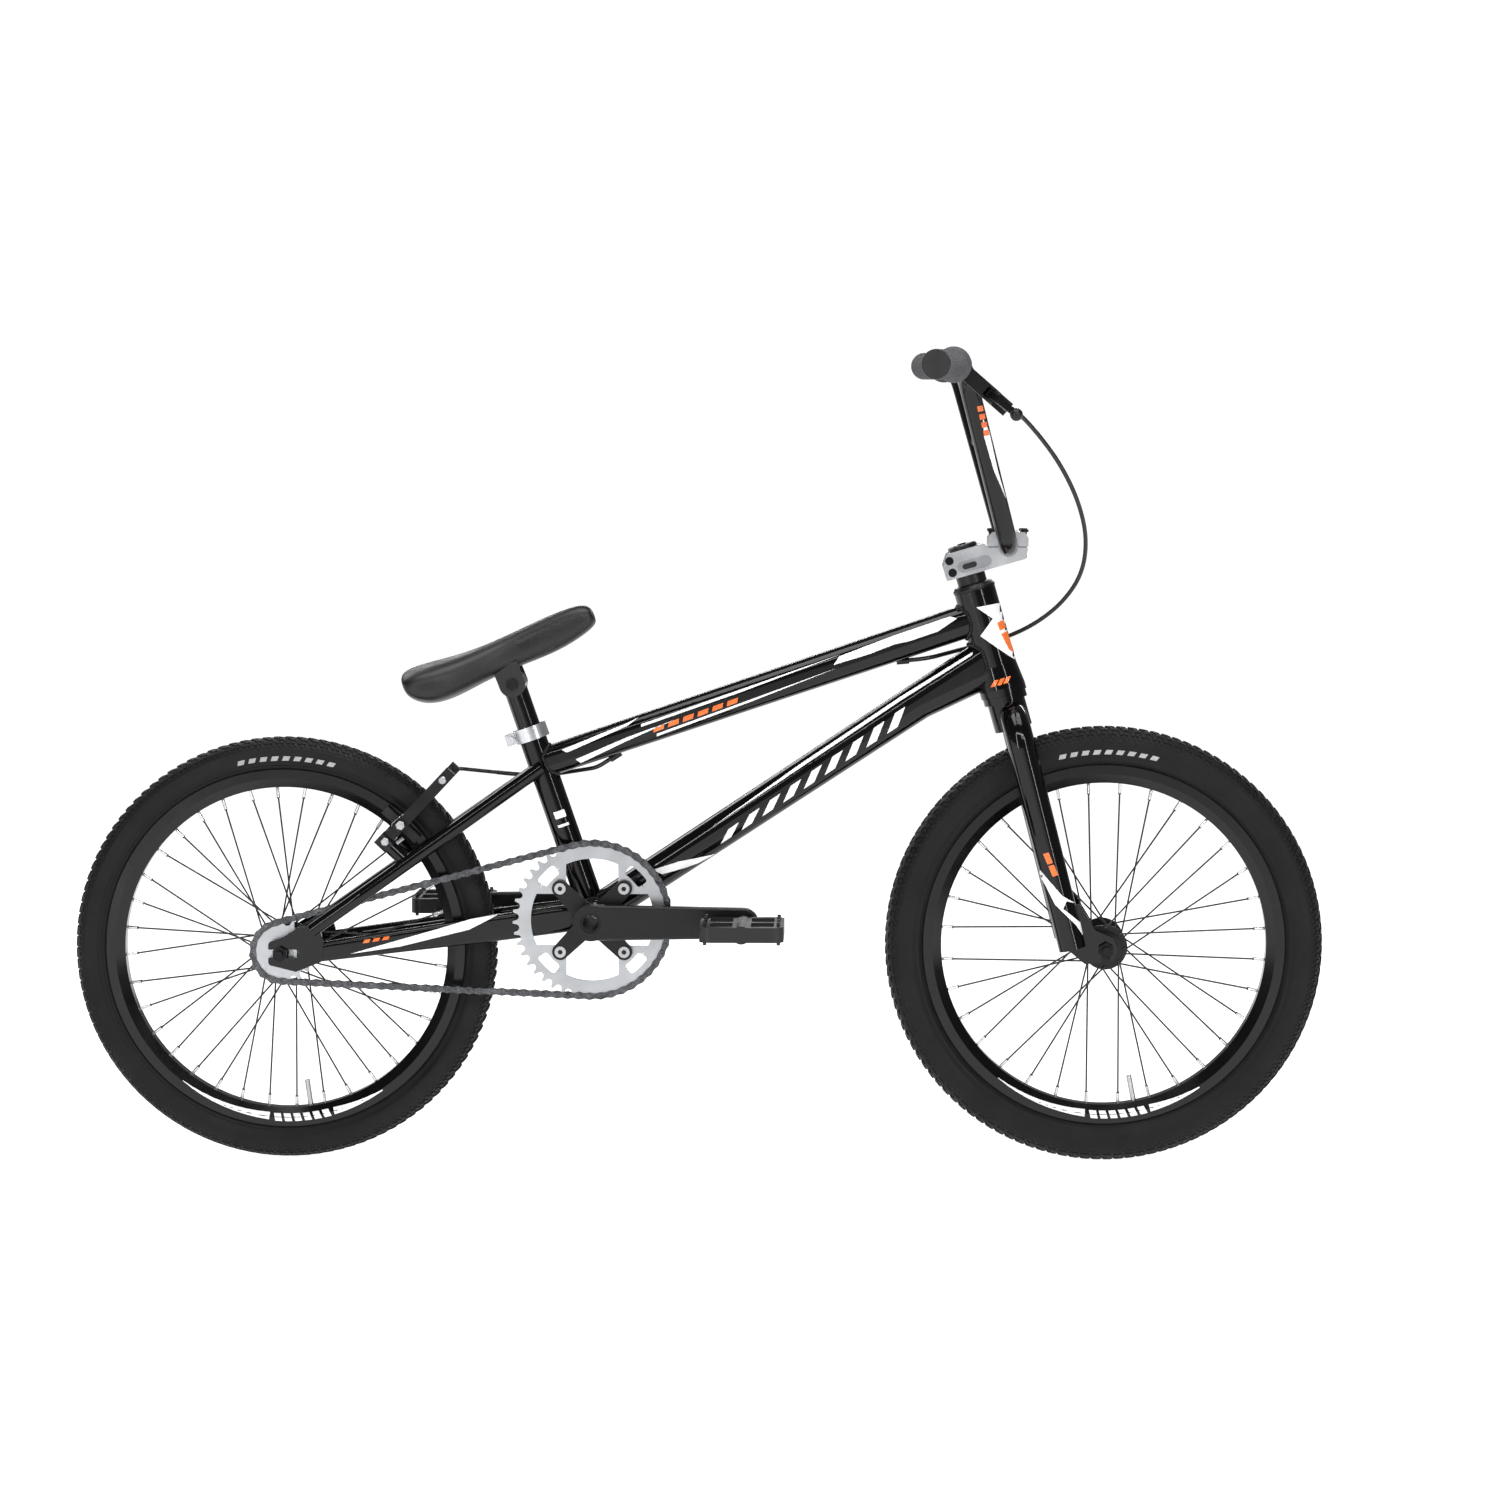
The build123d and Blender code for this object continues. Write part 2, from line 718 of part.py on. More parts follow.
def wheel_point(centre, radius, angle, y):
    """Point on a wheel, with the angle from straight down, turning forward."""
    return centre + Vector(radius * sin(angle), y, -radius * cos(angle))


def make_spokes(centre, count, flange_spacing, phase):
    """Crossed spokes with their nipples, alternately from the two flanges and both ways round."""
    step = 2 * pi / count
    pieces = []
    for index in range(count):
        angle = radians(phase) + index * step
        side = 1 if index % 2 else -1
        lead = 1 if index % 4 < 2 else -1
        turn = lead * radians(spoke_crossings_turn)
        outside = spoke_flange_lift if lead > 0 else 0
        shift = lead * (flange_thickness / 2 + spoke_head_offset) + outside
        head = wheel_point(centre, spoke_hole_radius, angle + turn, side * (flange_spacing / 2 + shift))
        foot = wheel_point(centre, rim_radius - rim_depth - nipple_seat_gap, angle, side * rim_hole_offset)
        run = (foot - head).normalized()
        seat = foot - run * nipple_length
        pieces.append(rod(head, seat, spoke_radius))
        pieces.append(rod(seat, foot, nipple_radius))
    return group(*pieces)


def make_rim(centre):
    """Hollow-section rim with a well for the tyre beads."""
    floor = rim_radius - rim_depth
    half_floor = rim_floor_width / 2
    half = rim_width / 2
    well = rim_radius - rim_well_depth
    shoulder = floor + rim_depth / 2
    outer = [(floor, -half_floor), (shoulder, -half), (rim_radius, -half), (rim_radius, -half + rim_wall),
             (well, -half + rim_wall), (well, half - rim_wall), (rim_radius, half - rim_wall), (rim_radius, half),
             (shoulder, half), (floor, half_floor)]
    inner = [(floor + rim_wall, -half_floor + rim_wall / 2), (shoulder, -half + rim_wall),
             (well - rim_wall, -half + rim_wall), (well - rim_wall, half - rim_wall), (shoulder, half - rim_wall),
             (floor + rim_wall, half_floor - rim_wall / 2)]
    return turned(centre, outer) - turned(centre, inner)


def tyre_outline(radius, width, inset):
    """Half outline of the tyre's section from bead to crown, moved in by an inset."""
    bead = rim_radius - rim_well_depth + tyre_fit
    half_bead = rim_width / 2 - rim_wall - tyre_fit
    widest = (rim_radius + radius) / 2 - inset
    shoulder = width / 2 * tread_width_share
    height = radius - rim_radius
    return [(bead, half_bead - inset), (rim_radius + tyre_lip, half_bead - inset),
            (widest - height / 6, width / 2 - tyre_bulge_drop - inset), (widest, width / 2 - inset),
            (radius - height * tyre_shoulder_share, shoulder + tyre_bulge_drop - inset),
            (radius - inset - tyre_crown_drop, shoulder - tyre_crown_inset), (radius - inset, 0)]


def make_tyre(centre, radius, width):
    """Tyre carcass, open between its beads."""
    def section(inset):
        half = tyre_outline(radius, width, inset)
        upper = Spline(*[(r, y) for r, y in half[1:]], tangents=[(0.5, 1), (0, -1)])
        lower = Spline(*[(r, -y) for r, y in half[1:]], tangents=[(0.5, -1), (0, 1)])
        edges = [upper, lower]
        for sign in (1, -1):
            edges.append(Line((half[0][0], sign * half[0][1]), (half[1][0], sign * half[1][1])))
        edges.append(Line((half[0][0], half[0][1]), (half[0][0], -half[0][1])))
        return make_face(edges)
    carcass = section(0) - section(tyre_wall)
    return Pos(centre.X, 0, centre.Z) * revolve(carcass, Axis.Y, 360)


def make_valve(centre, count, phase):
    """Tube valve through the rim, midway between two spokes."""
    angle = radians(phase) + pi / count
    floor = rim_radius - rim_depth
    start = wheel_point(centre, floor - valve_length, angle, 0)
    end = wheel_point(centre, floor - nipple_seat_gap, angle, 0)
    return rod(start, end, valve_radius)


# ---------------------------------------------------------------- fork
def make_steerer():
    """Steerer tube with the crown boss and race at its foot."""
    boss_low = head_tube_start - crown_gap - crown_race_height - leg_shoulder_drop - leg_radius
    race_low = head_tube_start - crown_gap - crown_race_height
    race_high = head_tube_start - crown_gap
    steerer_top = stem_base + stem_height - 1.0
    outer = rod(steer_point(0, boss_low), steer_point(0, race_low), crown_boss_radius)
    race = rod(steer_point(0, race_low), steer_point(0, race_high), crown_race_radius)
    shaft = rod(steer_point(0, race_low), steer_point(0, steerer_top), steerer_radius)
    bore = rod(steer_point(0, boss_low), steer_point(0, steerer_top), steerer_radius - steerer_wall)
    return outer + race + shaft - bore


def crown_blank():
    """Outside of the crown boss, for cutting the legs to it."""
    low = head_tube_start - crown_gap - crown_race_height - leg_shoulder_drop - leg_radius
    high = head_tube_start - crown_gap - crown_race_height
    return rod(steer_point(0, low - leg_radius), steer_point(0, high + leg_radius), crown_boss_radius)


def fork_dropout_plate(side):
    """Slotted plate that holds one end of the front axle."""
    inner = front_dropout_spacing / 2
    low, high = sorted((side * inner, side * (inner + dropout_thickness)))
    plate = side_plate(front_axle, fork_dropout_outline, low, high, dropout_corner)
    half = axle_radius + slot_gap
    hole = across(front_axle, half, low, high)
    mouth = [(-half, 0), (half, 0), (half, fork_slot[0] - axle_radius), (-half, fork_slot[0] - axle_radius)]
    return plate - hole - side_plate(front_axle, mouth, low, high)


def make_fork_leg(side):
    """Leg that rises from the dropout and bends in to the crown."""
    shoulder = head_tube_start - crown_gap - crown_race_height - leg_shoulder_drop
    foot = steer_point(leg_foot_forward, leg_foot_rise, side * leg_spread)
    bend = steer_point(leg_top_forward, shoulder, side * leg_spread)
    path = FilletPolyline(foot, bend, steer_point(leg_top_forward, shoulder, 0), radius=[leg_bend_radius])
    section = Plane(origin=path @ 0, z_dir=path % 0) * (Circle(leg_radius) - Circle(leg_radius - leg_wall))
    leg = sweep(section, path=path)
    return (leg - crown_blank() - fork_dropout_plate(side)).solids().sort_by(SortBy.VOLUME)[-1]


# ---------------------------------------------------------------- headset and stem
cover_base = head_tube_top + crown_gap
spacer_base = cover_base + headset_cover_height
stem_base = spacer_base + stem_gap_to_cover
bar_centre = steer_point(stem_reach, stem_base + bar_rise_on_stem)


def make_headset_stack():
    """Dust cover cone and the spacer rings above it."""
    rim = head_tube_radius + cover_edge
    profile = [(steerer_radius, cover_base), (rim, cover_base), (rim, cover_base + headset_cover_height / 3),
               (headset_cover_top_radius, spacer_base - cover_lip), (spacer_radius, spacer_base),
               (steerer_radius, spacer_base)]
    outline = make_face(Polyline(*[(radius, 0, height) for radius, height in profile], close=True))
    pieces = [steering.location * revolve(outline, Axis.Z, 360)]
    height = stem_gap_to_cover / spacer_count
    for index in range(spacer_count):
        low = spacer_base + index * height
        pieces.append(rod(steer_point(0, low), steer_point(0, low + height), spacer_radius, steerer_radius))
    return group(*pieces)


def stem_bolt_places():
    """Centres of the four clamp bolts on the split plane."""
    places = []
    for along in (-0.5, 0.5):
        for side in (-0.5, 0.5):
            places.append(bar_centre + Vector(along * clamp_bolt_pitch[0], side * clamp_bolt_pitch[1], 0))
    return places


def pinch_bolt_places():
    """Centres of the bolts that close the stem on the steerer."""
    return [steer_point(-pinch_bolt_offset, stem_base + height) for height in pinch_bolt_heights]


def stem_bolt_holes(radius, head_radius):
    """Shanks and heads of all the stem's bolts, as one list of solids."""
    top = clamp_cap_height
    solids = []
    for place in stem_bolt_places():
        shank = rod(place - Vector(0, 0, stem_corner * 3), place + Vector(0, 0, top), radius)
        head = rod(place + Vector(0, 0, top), place + Vector(0, 0, top + bolt_head_height), head_radius)
        solids.append(shank + head)
    for place in pinch_bolt_places():
        half = stem_width / 2
        shank = across(place, radius, -half, half)
        head = across(place, head_radius, -half, -half + bolt_head_height)
        solids.append(shank + head)
    return solids


def make_stem_bolts():
    """Four clamp bolts and two pinch bolts."""
    return group(*stem_bolt_holes(bolt_radius, bolt_head_radius))


def make_stem_body():
    """Stem with its steerer clamp and the lower half of the bar clamp."""
    front = bar_centre + Vector(clamp_length / 2, 0, 0)
    rear = bar_centre - Vector(clamp_length / 2, 0, 0)
    base = steer_point(-stem_tail, stem_base)
    nose = steer_point(stem_reach + clamp_length / 3, stem_base)
    shoulder = steer_point(steerer_radius + stem_shoulder, stem_base + stem_height)
    top = steer_point(-stem_tail * stem_top_share, stem_base + stem_height)
    tail = steer_point(-stem_tail, stem_base + stem_height * stem_tail_share)
    outline = [(point.X, point.Z) for point in (base, nose, front, rear, shoulder, top, tail)]
    half = stem_width / 2
    body = side_plate(Vector(0, 0, 0), outline, -half, half)
    body = fillet(body.edges().filter_by(Axis.Y), stem_corner / 2)
    body -= rod(steer_point(0, stem_base), steer_point(0, stem_base + 2 * stem_height), steerer_radius)
    body -= across(bar_centre, bar_radius, -clamp_width, clamp_width)
    slit_centre = steer_point(-stem_tail, stem_base + stem_height / 2)
    slit = Plane(origin=slit_centre, x_dir=steer_forward, z_dir=steer_up)
    body -= slit.location * Box(
        2 * (stem_tail - steerer_radius) + stem_slit_margin, stem_slit, 2 * stem_height)
    for solid in stem_bolt_holes(bolt_radius, bolt_head_radius):
        body -= solid
    return body


def make_stem_cap():
    """Upper half of the bar clamp, with a waist between its bolt rows."""
    length = clamp_length / 2
    top = clamp_cap_height
    side_top = top * cap_side_share
    outline = [(-length, clamp_cap_gap), (length, clamp_cap_gap), (length, side_top), (length - cap_bevel, top),
               (-length + cap_bevel, top), (-length, side_top)]
    half = clamp_width / 2
    cap = side_plate(bar_centre, outline, -half, half)
    cap -= across(bar_centre, bar_radius, -half, half)
    window_outline = [(-length / 2, top - cap_bevel), (length / 2, top - cap_bevel), (length / 2, top),
                      (-length / 2, top)]
    window = side_plate(bar_centre, window_outline, -half / 2, half / 2)
    cap -= window
    for solid in stem_bolt_holes(bolt_radius, bolt_head_radius):
        cap -= solid
    return cap


def make_top_cap():
    """Steerer cap with its bolt."""
    low = steer_point(0, stem_base + stem_height)
    disc = rod(low, steer_point(0, stem_base + stem_height + top_cap_height), spacer_radius)
    disc = chamfer(disc.edges().filter_by(GeomType.CIRCLE).sort_by(Axis.Z)[-1], top_cap_bevel)
    bolt_start = steer_point(0, stem_base + stem_height + top_cap_height)
    bolt = hexagon(bolt_start, steer_up, bolt_head_radius, top_cap_bevel)
    return group(disc, bolt)


# ---------------------------------------------------------------- handlebar
half_bar = bar_width / 2


def bar_corner(side):
    """Corner of the bar's centre line where the riser meets the grip line."""
    return bar_centre + Vector(-bar_sweep_back, side * bar_corner_spread, bar_rise)


def bar_direction(side):
    """Direction of a grip line, outwards."""
    angle = radians(grip_line_sweep)
    return Vector(-sin(angle), side * cos(angle), 0)


def bar_point(side, inboard):
    """Point on a grip line, measured in from the bar's end."""
    reach = (half_bar - bar_corner_spread) / cos(radians(grip_line_sweep)) - inboard
    return bar_corner(side) + bar_direction(side) * reach


def bar_base(side):
    """Corner of the centre line beside the stem."""
    return bar_centre + left * (side * bar_centre_half)


def make_handlebar():
    """One-piece bar with its cross bar."""
    points = [bar_point(1, plug_length), bar_corner(1), bar_base(1), bar_base(-1), bar_corner(-1),
              bar_point(-1, plug_length)]
    radii = [bar_bend_radii[1], bar_bend_radii[0], bar_bend_radii[0], bar_bend_radii[1]]
    path = FilletPolyline(*points, radius=radii)
    section = Plane(origin=path @ 0, z_dir=path % 0) * (Circle(bar_radius) - Circle(bar_radius - bar_wall))
    bar = sweep(section, path=path)
    ends = []
    for side in (1, -1):
        ends.append(bar_base(side) + (bar_corner(side) - bar_base(side)) * cross_bar_share)
    cross = rod(ends[0], ends[1], cross_bar_radius, cross_bar_radius - bar_wall)
    for side in (1, -1):
        cross -= rod(bar_base(side), bar_corner(side), bar_radius)
    return group(bar, cross)


def make_grip(side):
    """Rubber grip with an inner flange."""
    inner = bar_point(side, plug_length + grip_length)
    outer = bar_point(side, plug_length)
    grip = rod(inner, outer, grip_radius, bar_radius)
    rim_end = bar_point(side, plug_length + grip_length - grip_flange_length)
    rim = rod(inner, rim_end, grip_flange_radius, bar_radius)
    return grip + rim


def make_plugs():
    """End plug in each grip."""
    plugs = []
    for side in sides.values():
        plugs.append(rod(bar_point(side, plug_length), bar_point(side, 0), plug_radius))
    return group(*plugs)


# ---------------------------------------------------------------- brake lever
perch_centre = bar_point(-1, plug_length + grip_length + perch_to_grip + perch_width / 2)
pitch_down = radians(lever_pitch_down)
lever_out = Vector(cos(pitch_down), 0, -sin(pitch_down))
lever_axis = Vector(sin(pitch_down), 0, cos(pitch_down))
lever_plane = Plane(origin=perch_centre, x_dir=lever_out, z_dir=lever_axis)


def lever_point(out, inward, up=0.0):
    """Point given out from the bar, inwards along it and up the lever's pivot axis."""
    return perch_centre + lever_out * out + left * inward + lever_axis * up


def lever_box(out, inward, height):
    """Box between pairs of distances out from the bar and inwards along it."""
    size = (out[1] - out[0], inward[1] - inward[0], height)
    return lever_plane.location * Pos(sum(out) / 2, sum(inward) / 2, 0) * Box(*size)


def make_perch():
    """Lever perch: the bar clamp, its body, two ears, the pin and the pinch bolt."""
    along = bar_direction(-1) * (perch_width / 2)
    ring = rod(perch_centre - along, perch_centre + along, perch_ring_radius)
    arm_length = lever_pivot_reach - lever_ear_radius - bar_radius
    arm = lever_plane.location * Pos(bar_radius + arm_length / 2, 0, 0) * Box(
        arm_length, perch_width, lever_ear_gap + 2 * lever_ear_thickness)
    half_gap = lever_ear_gap / 2
    body = ring + arm
    outer_half = half_gap + lever_ear_thickness
    for low, high in ((-outer_half, -half_gap), (half_gap, outer_half)):
        ear_start = lever_point(lever_pivot_reach, 0, low)
        ear = rod(ear_start, lever_point(lever_pivot_reach, 0, high), lever_ear_radius)
        link = lever_plane.location * Pos(lever_pivot_reach - lever_ear_radius, 0, (low + high) / 2) * Box(
            2 * lever_ear_radius, perch_width, high - low)
        body += ear + link
    holder_far = barrel_reach + barrel_radius + barrel_holder_wall
    body += lever_box((lever_pivot_reach - 2 * lever_ear_radius, lever_pivot_reach - lever_ear_radius),
                      (0, barrel_holder_end), lever_ear_gap + 2 * lever_ear_thickness)
    body += lever_box((lever_pivot_reach - 2 * lever_ear_radius, holder_far),
                      (lever_ear_radius + lever_side_gap, barrel_holder_end), lever_ear_gap + 2 * lever_ear_thickness)
    body -= rod(perch_centre - along * 2, perch_centre + along * 2, bar_radius)
    pin_top = lever_ear_gap / 2 + lever_ear_thickness
    pin = rod(lever_point(lever_pivot_reach, 0, -pin_top), lever_point(lever_pivot_reach, 0, pin_top),
              lever_pin_radius)
    body -= pin
    return group(body.solids().sort_by(SortBy.VOLUME)[-1], pin)


def barrel_ends():
    """Ends of the cable adjuster's axis."""
    end = barrel_holder_end + barrel_length
    start = lever_point(barrel_reach, barrel_holder_end, barrel_lift)
    return start, lever_point(barrel_reach, end, barrel_lift)


def make_barrel():
    """Cable adjuster screwed into the perch."""
    start, end = barrel_ends()
    return rod(start, end, barrel_radius)


def make_lever():
    """Lever blade with its boss and a rounded tip."""
    half = lever_thickness / 2
    boss = rod(lever_point(lever_pivot_reach, 0, -half), lever_point(lever_pivot_reach, 0, half),
               lever_ear_radius - lever_side_gap)
    reach = lever_pivot_reach
    outline = [(reach + out, inward) for out, inward in lever_outline]
    face = make_face(Polyline(*outline, close=True))
    rounded = fillet(face.vertices(), lever_corner)
    blade = lever_plane.location * extrude(rounded, half * lever_blade_share, both=True)
    tip = Pos(*lever_point(reach + lever_tip[0], lever_tip[1])) * Sphere(lever_tip_radius)
    bore = rod(lever_point(reach, 0, -half), lever_point(reach, 0, half), lever_pin_radius + running_gap)
    return boss + blade + tip - bore


# ---------------------------------------------------------------- cables
cable_bend_share = 0.45
cable_exit_run = 22.0
cable_port_run = 20.0
brake_cable_route = (
    (366.0, -130.0, 868.0), (390.0, -116.0, 842.0), (414.0, -98.0, 810.0), (435.0, -74.0, 770.0),
    (447.0, -48.0, 727.0), (444.0, -22.0, 685.0), (424.0, 3.0, 651.0), (393.0, 23.0, 624.0),
    (357.0, 36.0, 606.0), (322.0, 35.0, 597.0), (291.0, 17.0, 590.0))
rear_cable_port_run = 18.0
rear_cable_bend_across = 37.0
guide_rise = 14.0
guide_reach = (50.0, -5.0)
guide_lead = (58.0, -2.0)
guide_bend_radius = 12.0
guide_radius_share = 0.9
wire_end_gap = 0.5


def bend_radii(points):
    """Largest arc at each corner that leaves both of its runs some straight."""
    radii = []
    for before, corner, after in zip(points, points[1:], points[2:]):
        first = corner - before
        second = after - corner
        turn = radians(first.get_angle(second))
        shorter = min(first.length, second.length)
        radii.append(cable_bend_share * shorter / tan(turn / 2))
    return radii


def cable(points, radius, name):
    """Round cable along straight runs joined by arcs."""
    radii = bend_radii(points)
    path = FilletPolyline(*points, radius=radii)
    solid = sweep(Plane(origin=path @ 0, z_dir=path % 0) * Circle(radius), path=path)
    expected = path.length * pi * radius**2
    print(name, "length", round(path.length, 1), "volume share", round(solid.volume / expected, 4),
          "radii", [round(value, 1) for value in radii])
    return solid


def make_brake_cable():
    """Cable from the adjuster, in front of the head tube and past its left side, into the top tube."""
    barrel_end = barrel_ends()[1]
    mouth, direction = port_ends(cable_entry_share)[1:]
    route = [Vector(*point) for point in brake_cable_route]
    points = [barrel_end, barrel_end + left * cable_exit_run] + route
    points += [mouth + direction * cable_port_run, mouth]
    return cable(points, cable_radius, "brake_cable")


def make_rear_cable():
    """Housing from the top tube past the seat tube, the bent guide tube and the inner wire."""
    start, direction = port_ends(cable_exit_share)[1:]
    side = brake_arm_top_spread + brake_arm_thickness / 2
    arm_top = brake_point(brake_arm_length - brake_arm_width / 2, 0, side + 1.0)
    corner = arm_top + left * guide_rise
    guide_start = corner + Vector(guide_reach[0], 0, guide_reach[1])
    guide_direction = (guide_start - corner).normalized()
    lead = Vector(guide_start.X + guide_lead[0], rear_cable_bend_across, guide_start.Z + guide_lead[1])
    points = [start, start + direction * rear_cable_port_run, lead,
              guide_start + guide_direction * cable_port_run, guide_start]
    housing = cable(points, cable_radius, "rear_cable_housing")
    guide_points = [guide_start, corner, arm_top]
    path = FilletPolyline(*guide_points, radius=[guide_bend_radius])
    guide = sweep(Plane(origin=path @ 0, z_dir=path % 0) * Circle(cable_radius * guide_radius_share), path=path)
    inner = brake_arm_top_spread - brake_arm_thickness / 2 - wire_end_gap
    height = brake_arm_length - brake_arm_width / 2
    wire = rod(brake_point(height, 0, -inner), brake_point(height, 0, inner), wire_radius)
    return group(housing, guide, wire)


# ---------------------------------------------------------------- drive train
def pitch_radius(teeth):
    """Radius of the circle through the chain's pins on a sprocket."""
    return chain_pitch / (2 * sin(pi / teeth))


chain_centre_angle = atan2(bottom_bracket.Z - rear_axle.Z, bottom_bracket.X - rear_axle.X)


def sprocket_face(teeth, phase):
    """Toothed face in the XY plane: roller seats as arcs with straight flanks to narrow tips."""
    radius = pitch_radius(teeth)
    seat = roller_radius + roller_seat_gap
    seat_half_angle = radians(tooth_seat_angle)
    tip_radius = radius + tooth_height
    half_step = pi / teeth
    tip_angle = tooth_tip_half / tip_radius
    edges = []
    previous = None
    first = None
    for index in range(teeth):
        angle = phase + 2 * half_step * index

        def place(along, aside, at=angle):
            return Vector(along * cos(at) - aside * sin(at), along * sin(at) + aside * cos(at), 0)

        low = place(radius - seat * cos(seat_half_angle), -seat * sin(seat_half_angle))
        middle = place(radius - seat, 0)
        high = place(radius - seat * cos(seat_half_angle), seat * sin(seat_half_angle))
        tip_start = angle + half_step - tip_angle
        tip_end = angle + half_step + tip_angle
        tip_low = Vector(tip_radius * cos(tip_start), tip_radius * sin(tip_start), 0)
        tip_high = Vector(tip_radius * cos(tip_end), tip_radius * sin(tip_end), 0)
        if previous is None:
            first = low
        else:
            edges.append(Line(previous, low))
        edges += [ThreePointArc(low, middle, high), Line(high, tip_low), Line(tip_low, tip_high)]
        previous = tip_high
    edges.append(Line(previous, first))
    return make_face(edges)


def drive_plane(centre, y):
    """Plane square to Y at a centre, whose X is +X and Y is +Z."""
    return Plane(origin=(centre.X, y, centre.Z), x_dir=(1, 0, 0), z_dir=(0, -1, 0))


def ring_slot(inner, outer, centre_angle, span):
    """Curved slot between two radii."""
    half = radians(span / 2)
    middle = radians(centre_angle)

    def place(radius, angle):
        return Vector(radius * cos(angle), radius * sin(angle), 0)

    edges = [ThreePointArc(place(outer, middle - half), place(outer, middle), place(outer, middle + half)),
             Line(place(outer, middle + half), place(inner, middle + half)),
             ThreePointArc(place(inner, middle + half), place(inner, middle), place(inner, middle - half)),
             Line(place(inner, middle - half), place(outer, middle - half))]
    face = make_face(edges)
    return fillet(face.vertices(), (outer - inner) / 4)


def bolt_angles():
    """Angles of the chainring bolts from the crank arm."""
    return [360 / chainring_bolt_count * (index + 0.5) for index in range(chainring_bolt_count)]


def make_chainring():
    """Chainring whose four bolt tabs widen outwards into its ring, with a small window in each."""
    face = sprocket_face(chainring_teeth, chain_centre_angle) - Circle(chainring_inner_radius)
    bolt_place = chainring_bolt_circle / 2
    spread = radians(chainring_arm_half_angle)
    arm_end = Vector(cos(spread), sin(spread), 0) * (chainring_inner_radius + chainring_arm_overlap)
    arm_outline = [(bolt_place, -chainring_tab_radius), (arm_end.X, -arm_end.Y), (arm_end.X, arm_end.Y),
                   (bolt_place, chainring_tab_radius)]
    arm = make_face(Polyline(*arm_outline, close=True))
    for angle in bolt_angles():
        turn = Rot(0, 0, angle)
        face = face + turn * Pos(bolt_place, 0, 0) * Circle(chainring_tab_radius) + turn * arm
    for angle in bolt_angles():
        face -= Rot(0, 0, angle) * Pos(bolt_place, 0, 0) * Circle(chainring_bolt_radius)
        face -= ring_slot(*chainring_window_radii, angle, chainring_window_angle)
    plane = drive_plane(bottom_bracket, -chain_line + sprocket_thickness / 2)
    return extrude(plane * face, sprocket_thickness)


def make_chainring_bolts():
    """Bolts that hold the chainring to the spider, with their heads and nuts."""
    outer = -chain_line - sprocket_thickness / 2 - spider_thickness
    inner = -chain_line + sprocket_thickness / 2
    bolts = []
    for angle in bolt_angles():
        outwards = Vector(cos(radians(angle)), 0, sin(radians(angle)))
        place = bottom_bracket + outwards * (chainring_bolt_circle / 2)
        bolt = across(place, chainring_bolt_radius, outer, inner)
        bolt += across(place, chainring_bolt_head, outer - chainring_bolt_head_height, outer)
        bolt += across(place, chainring_bolt_head, inner, inner + chainring_bolt_head_height)
        bolts.append(bolt)
    return group(*bolts)


def crank_blade(side):
    """Crank arm between its root and its pedal eye, on one side."""
    forward = -side
    eye = bottom_bracket + Vector(forward * crank_length, 0, 0)
    tip_circle = Pos(forward * crank_length, 0, 0) * Circle(crank_tip_radius)
    face = make_hull([Circle(crank_root_radius).edge(), tip_circle.edge()])
    low, high = sorted((side * crank_inner_face, side * (crank_inner_face + crank_thickness)))
    blade = extrude(drive_plane(bottom_bracket, high) * face, high - low)
    flat_faces = blade.faces().sort_by(Axis.Y)
    blade = fillet(flat_faces[0].edges() + flat_faces[-1].edges(), crank_edge_radius)
    boss_start = side * (bb_shell_width / 2 + bb_cup_width + crank_boss_gap)
    boss_low, boss_high = sorted((boss_start, side * (crank_inner_face + crank_thickness)))
    boss = across(bottom_bracket, crank_boss_radius, boss_low, boss_high)
    arm = blade + boss
    arm -= across(bottom_bracket, spindle_radius, -crank_inner_face * 2, crank_inner_face * 2)
    arm -= across(eye, pedal_thread_radius, *sorted((side * crank_inner_face, side * 2 * crank_inner_face)))
    return arm


def make_right_crank():
    """Right crank arm with the four-armed spider for the chainring."""
    arm = crank_blade(-1)
    spider_plane = drive_plane(bottom_bracket, -chain_line - sprocket_thickness / 2)
    face = Circle(crank_boss_radius)
    for angle in bolt_angles():
        tip = Rot(0, 0, angle) * Pos(chainring_bolt_circle / 2, 0, 0) * Circle(spider_arm_radius)
        root = Circle(spider_arm_radius * spider_root_share)
        face = face + make_hull([tip.edge(), root.edge()])
    for angle in bolt_angles():
        face -= Rot(0, 0, angle) * Pos(chainring_bolt_circle / 2, 0, 0) * Circle(chainring_bolt_radius)
    face -= Circle(spindle_radius)
    return arm + extrude(spider_plane * face, spider_thickness)


def make_left_crank():
    """Left crank arm, half a turn from the right one."""
    return crank_blade(1)


def make_spindle():
    """Hollow spindle between the two crank arms."""
    end = crank_inner_face + crank_thickness - 1.0
    return across(bottom_bracket, spindle_radius, -end, end, spindle_bore)


def make_rear_sprocket():
    """Rear sprocket on its driver, running on the axle."""
    face = sprocket_face(sprocket_teeth, chain_centre_angle + pi) - Circle(hub_end_radius)
    plane = drive_plane(rear_axle, -chain_line + sprocket_thickness / 2)
    disc = extrude(plane * face, sprocket_thickness)
    outer = rear_dropout_spacing / 2 - axle_collar_length - hub_side_gap
    inner = sprocket_driver_inner
    driver = across(rear_axle, hub_end_radius, -outer, -inner, axle_radius + running_gap)
    return disc + driver


sprocket_driver_inner = rear_flange_spacing / 2 + 7.0
rear_hub_right_end = sprocket_driver_inner - hub_side_gap


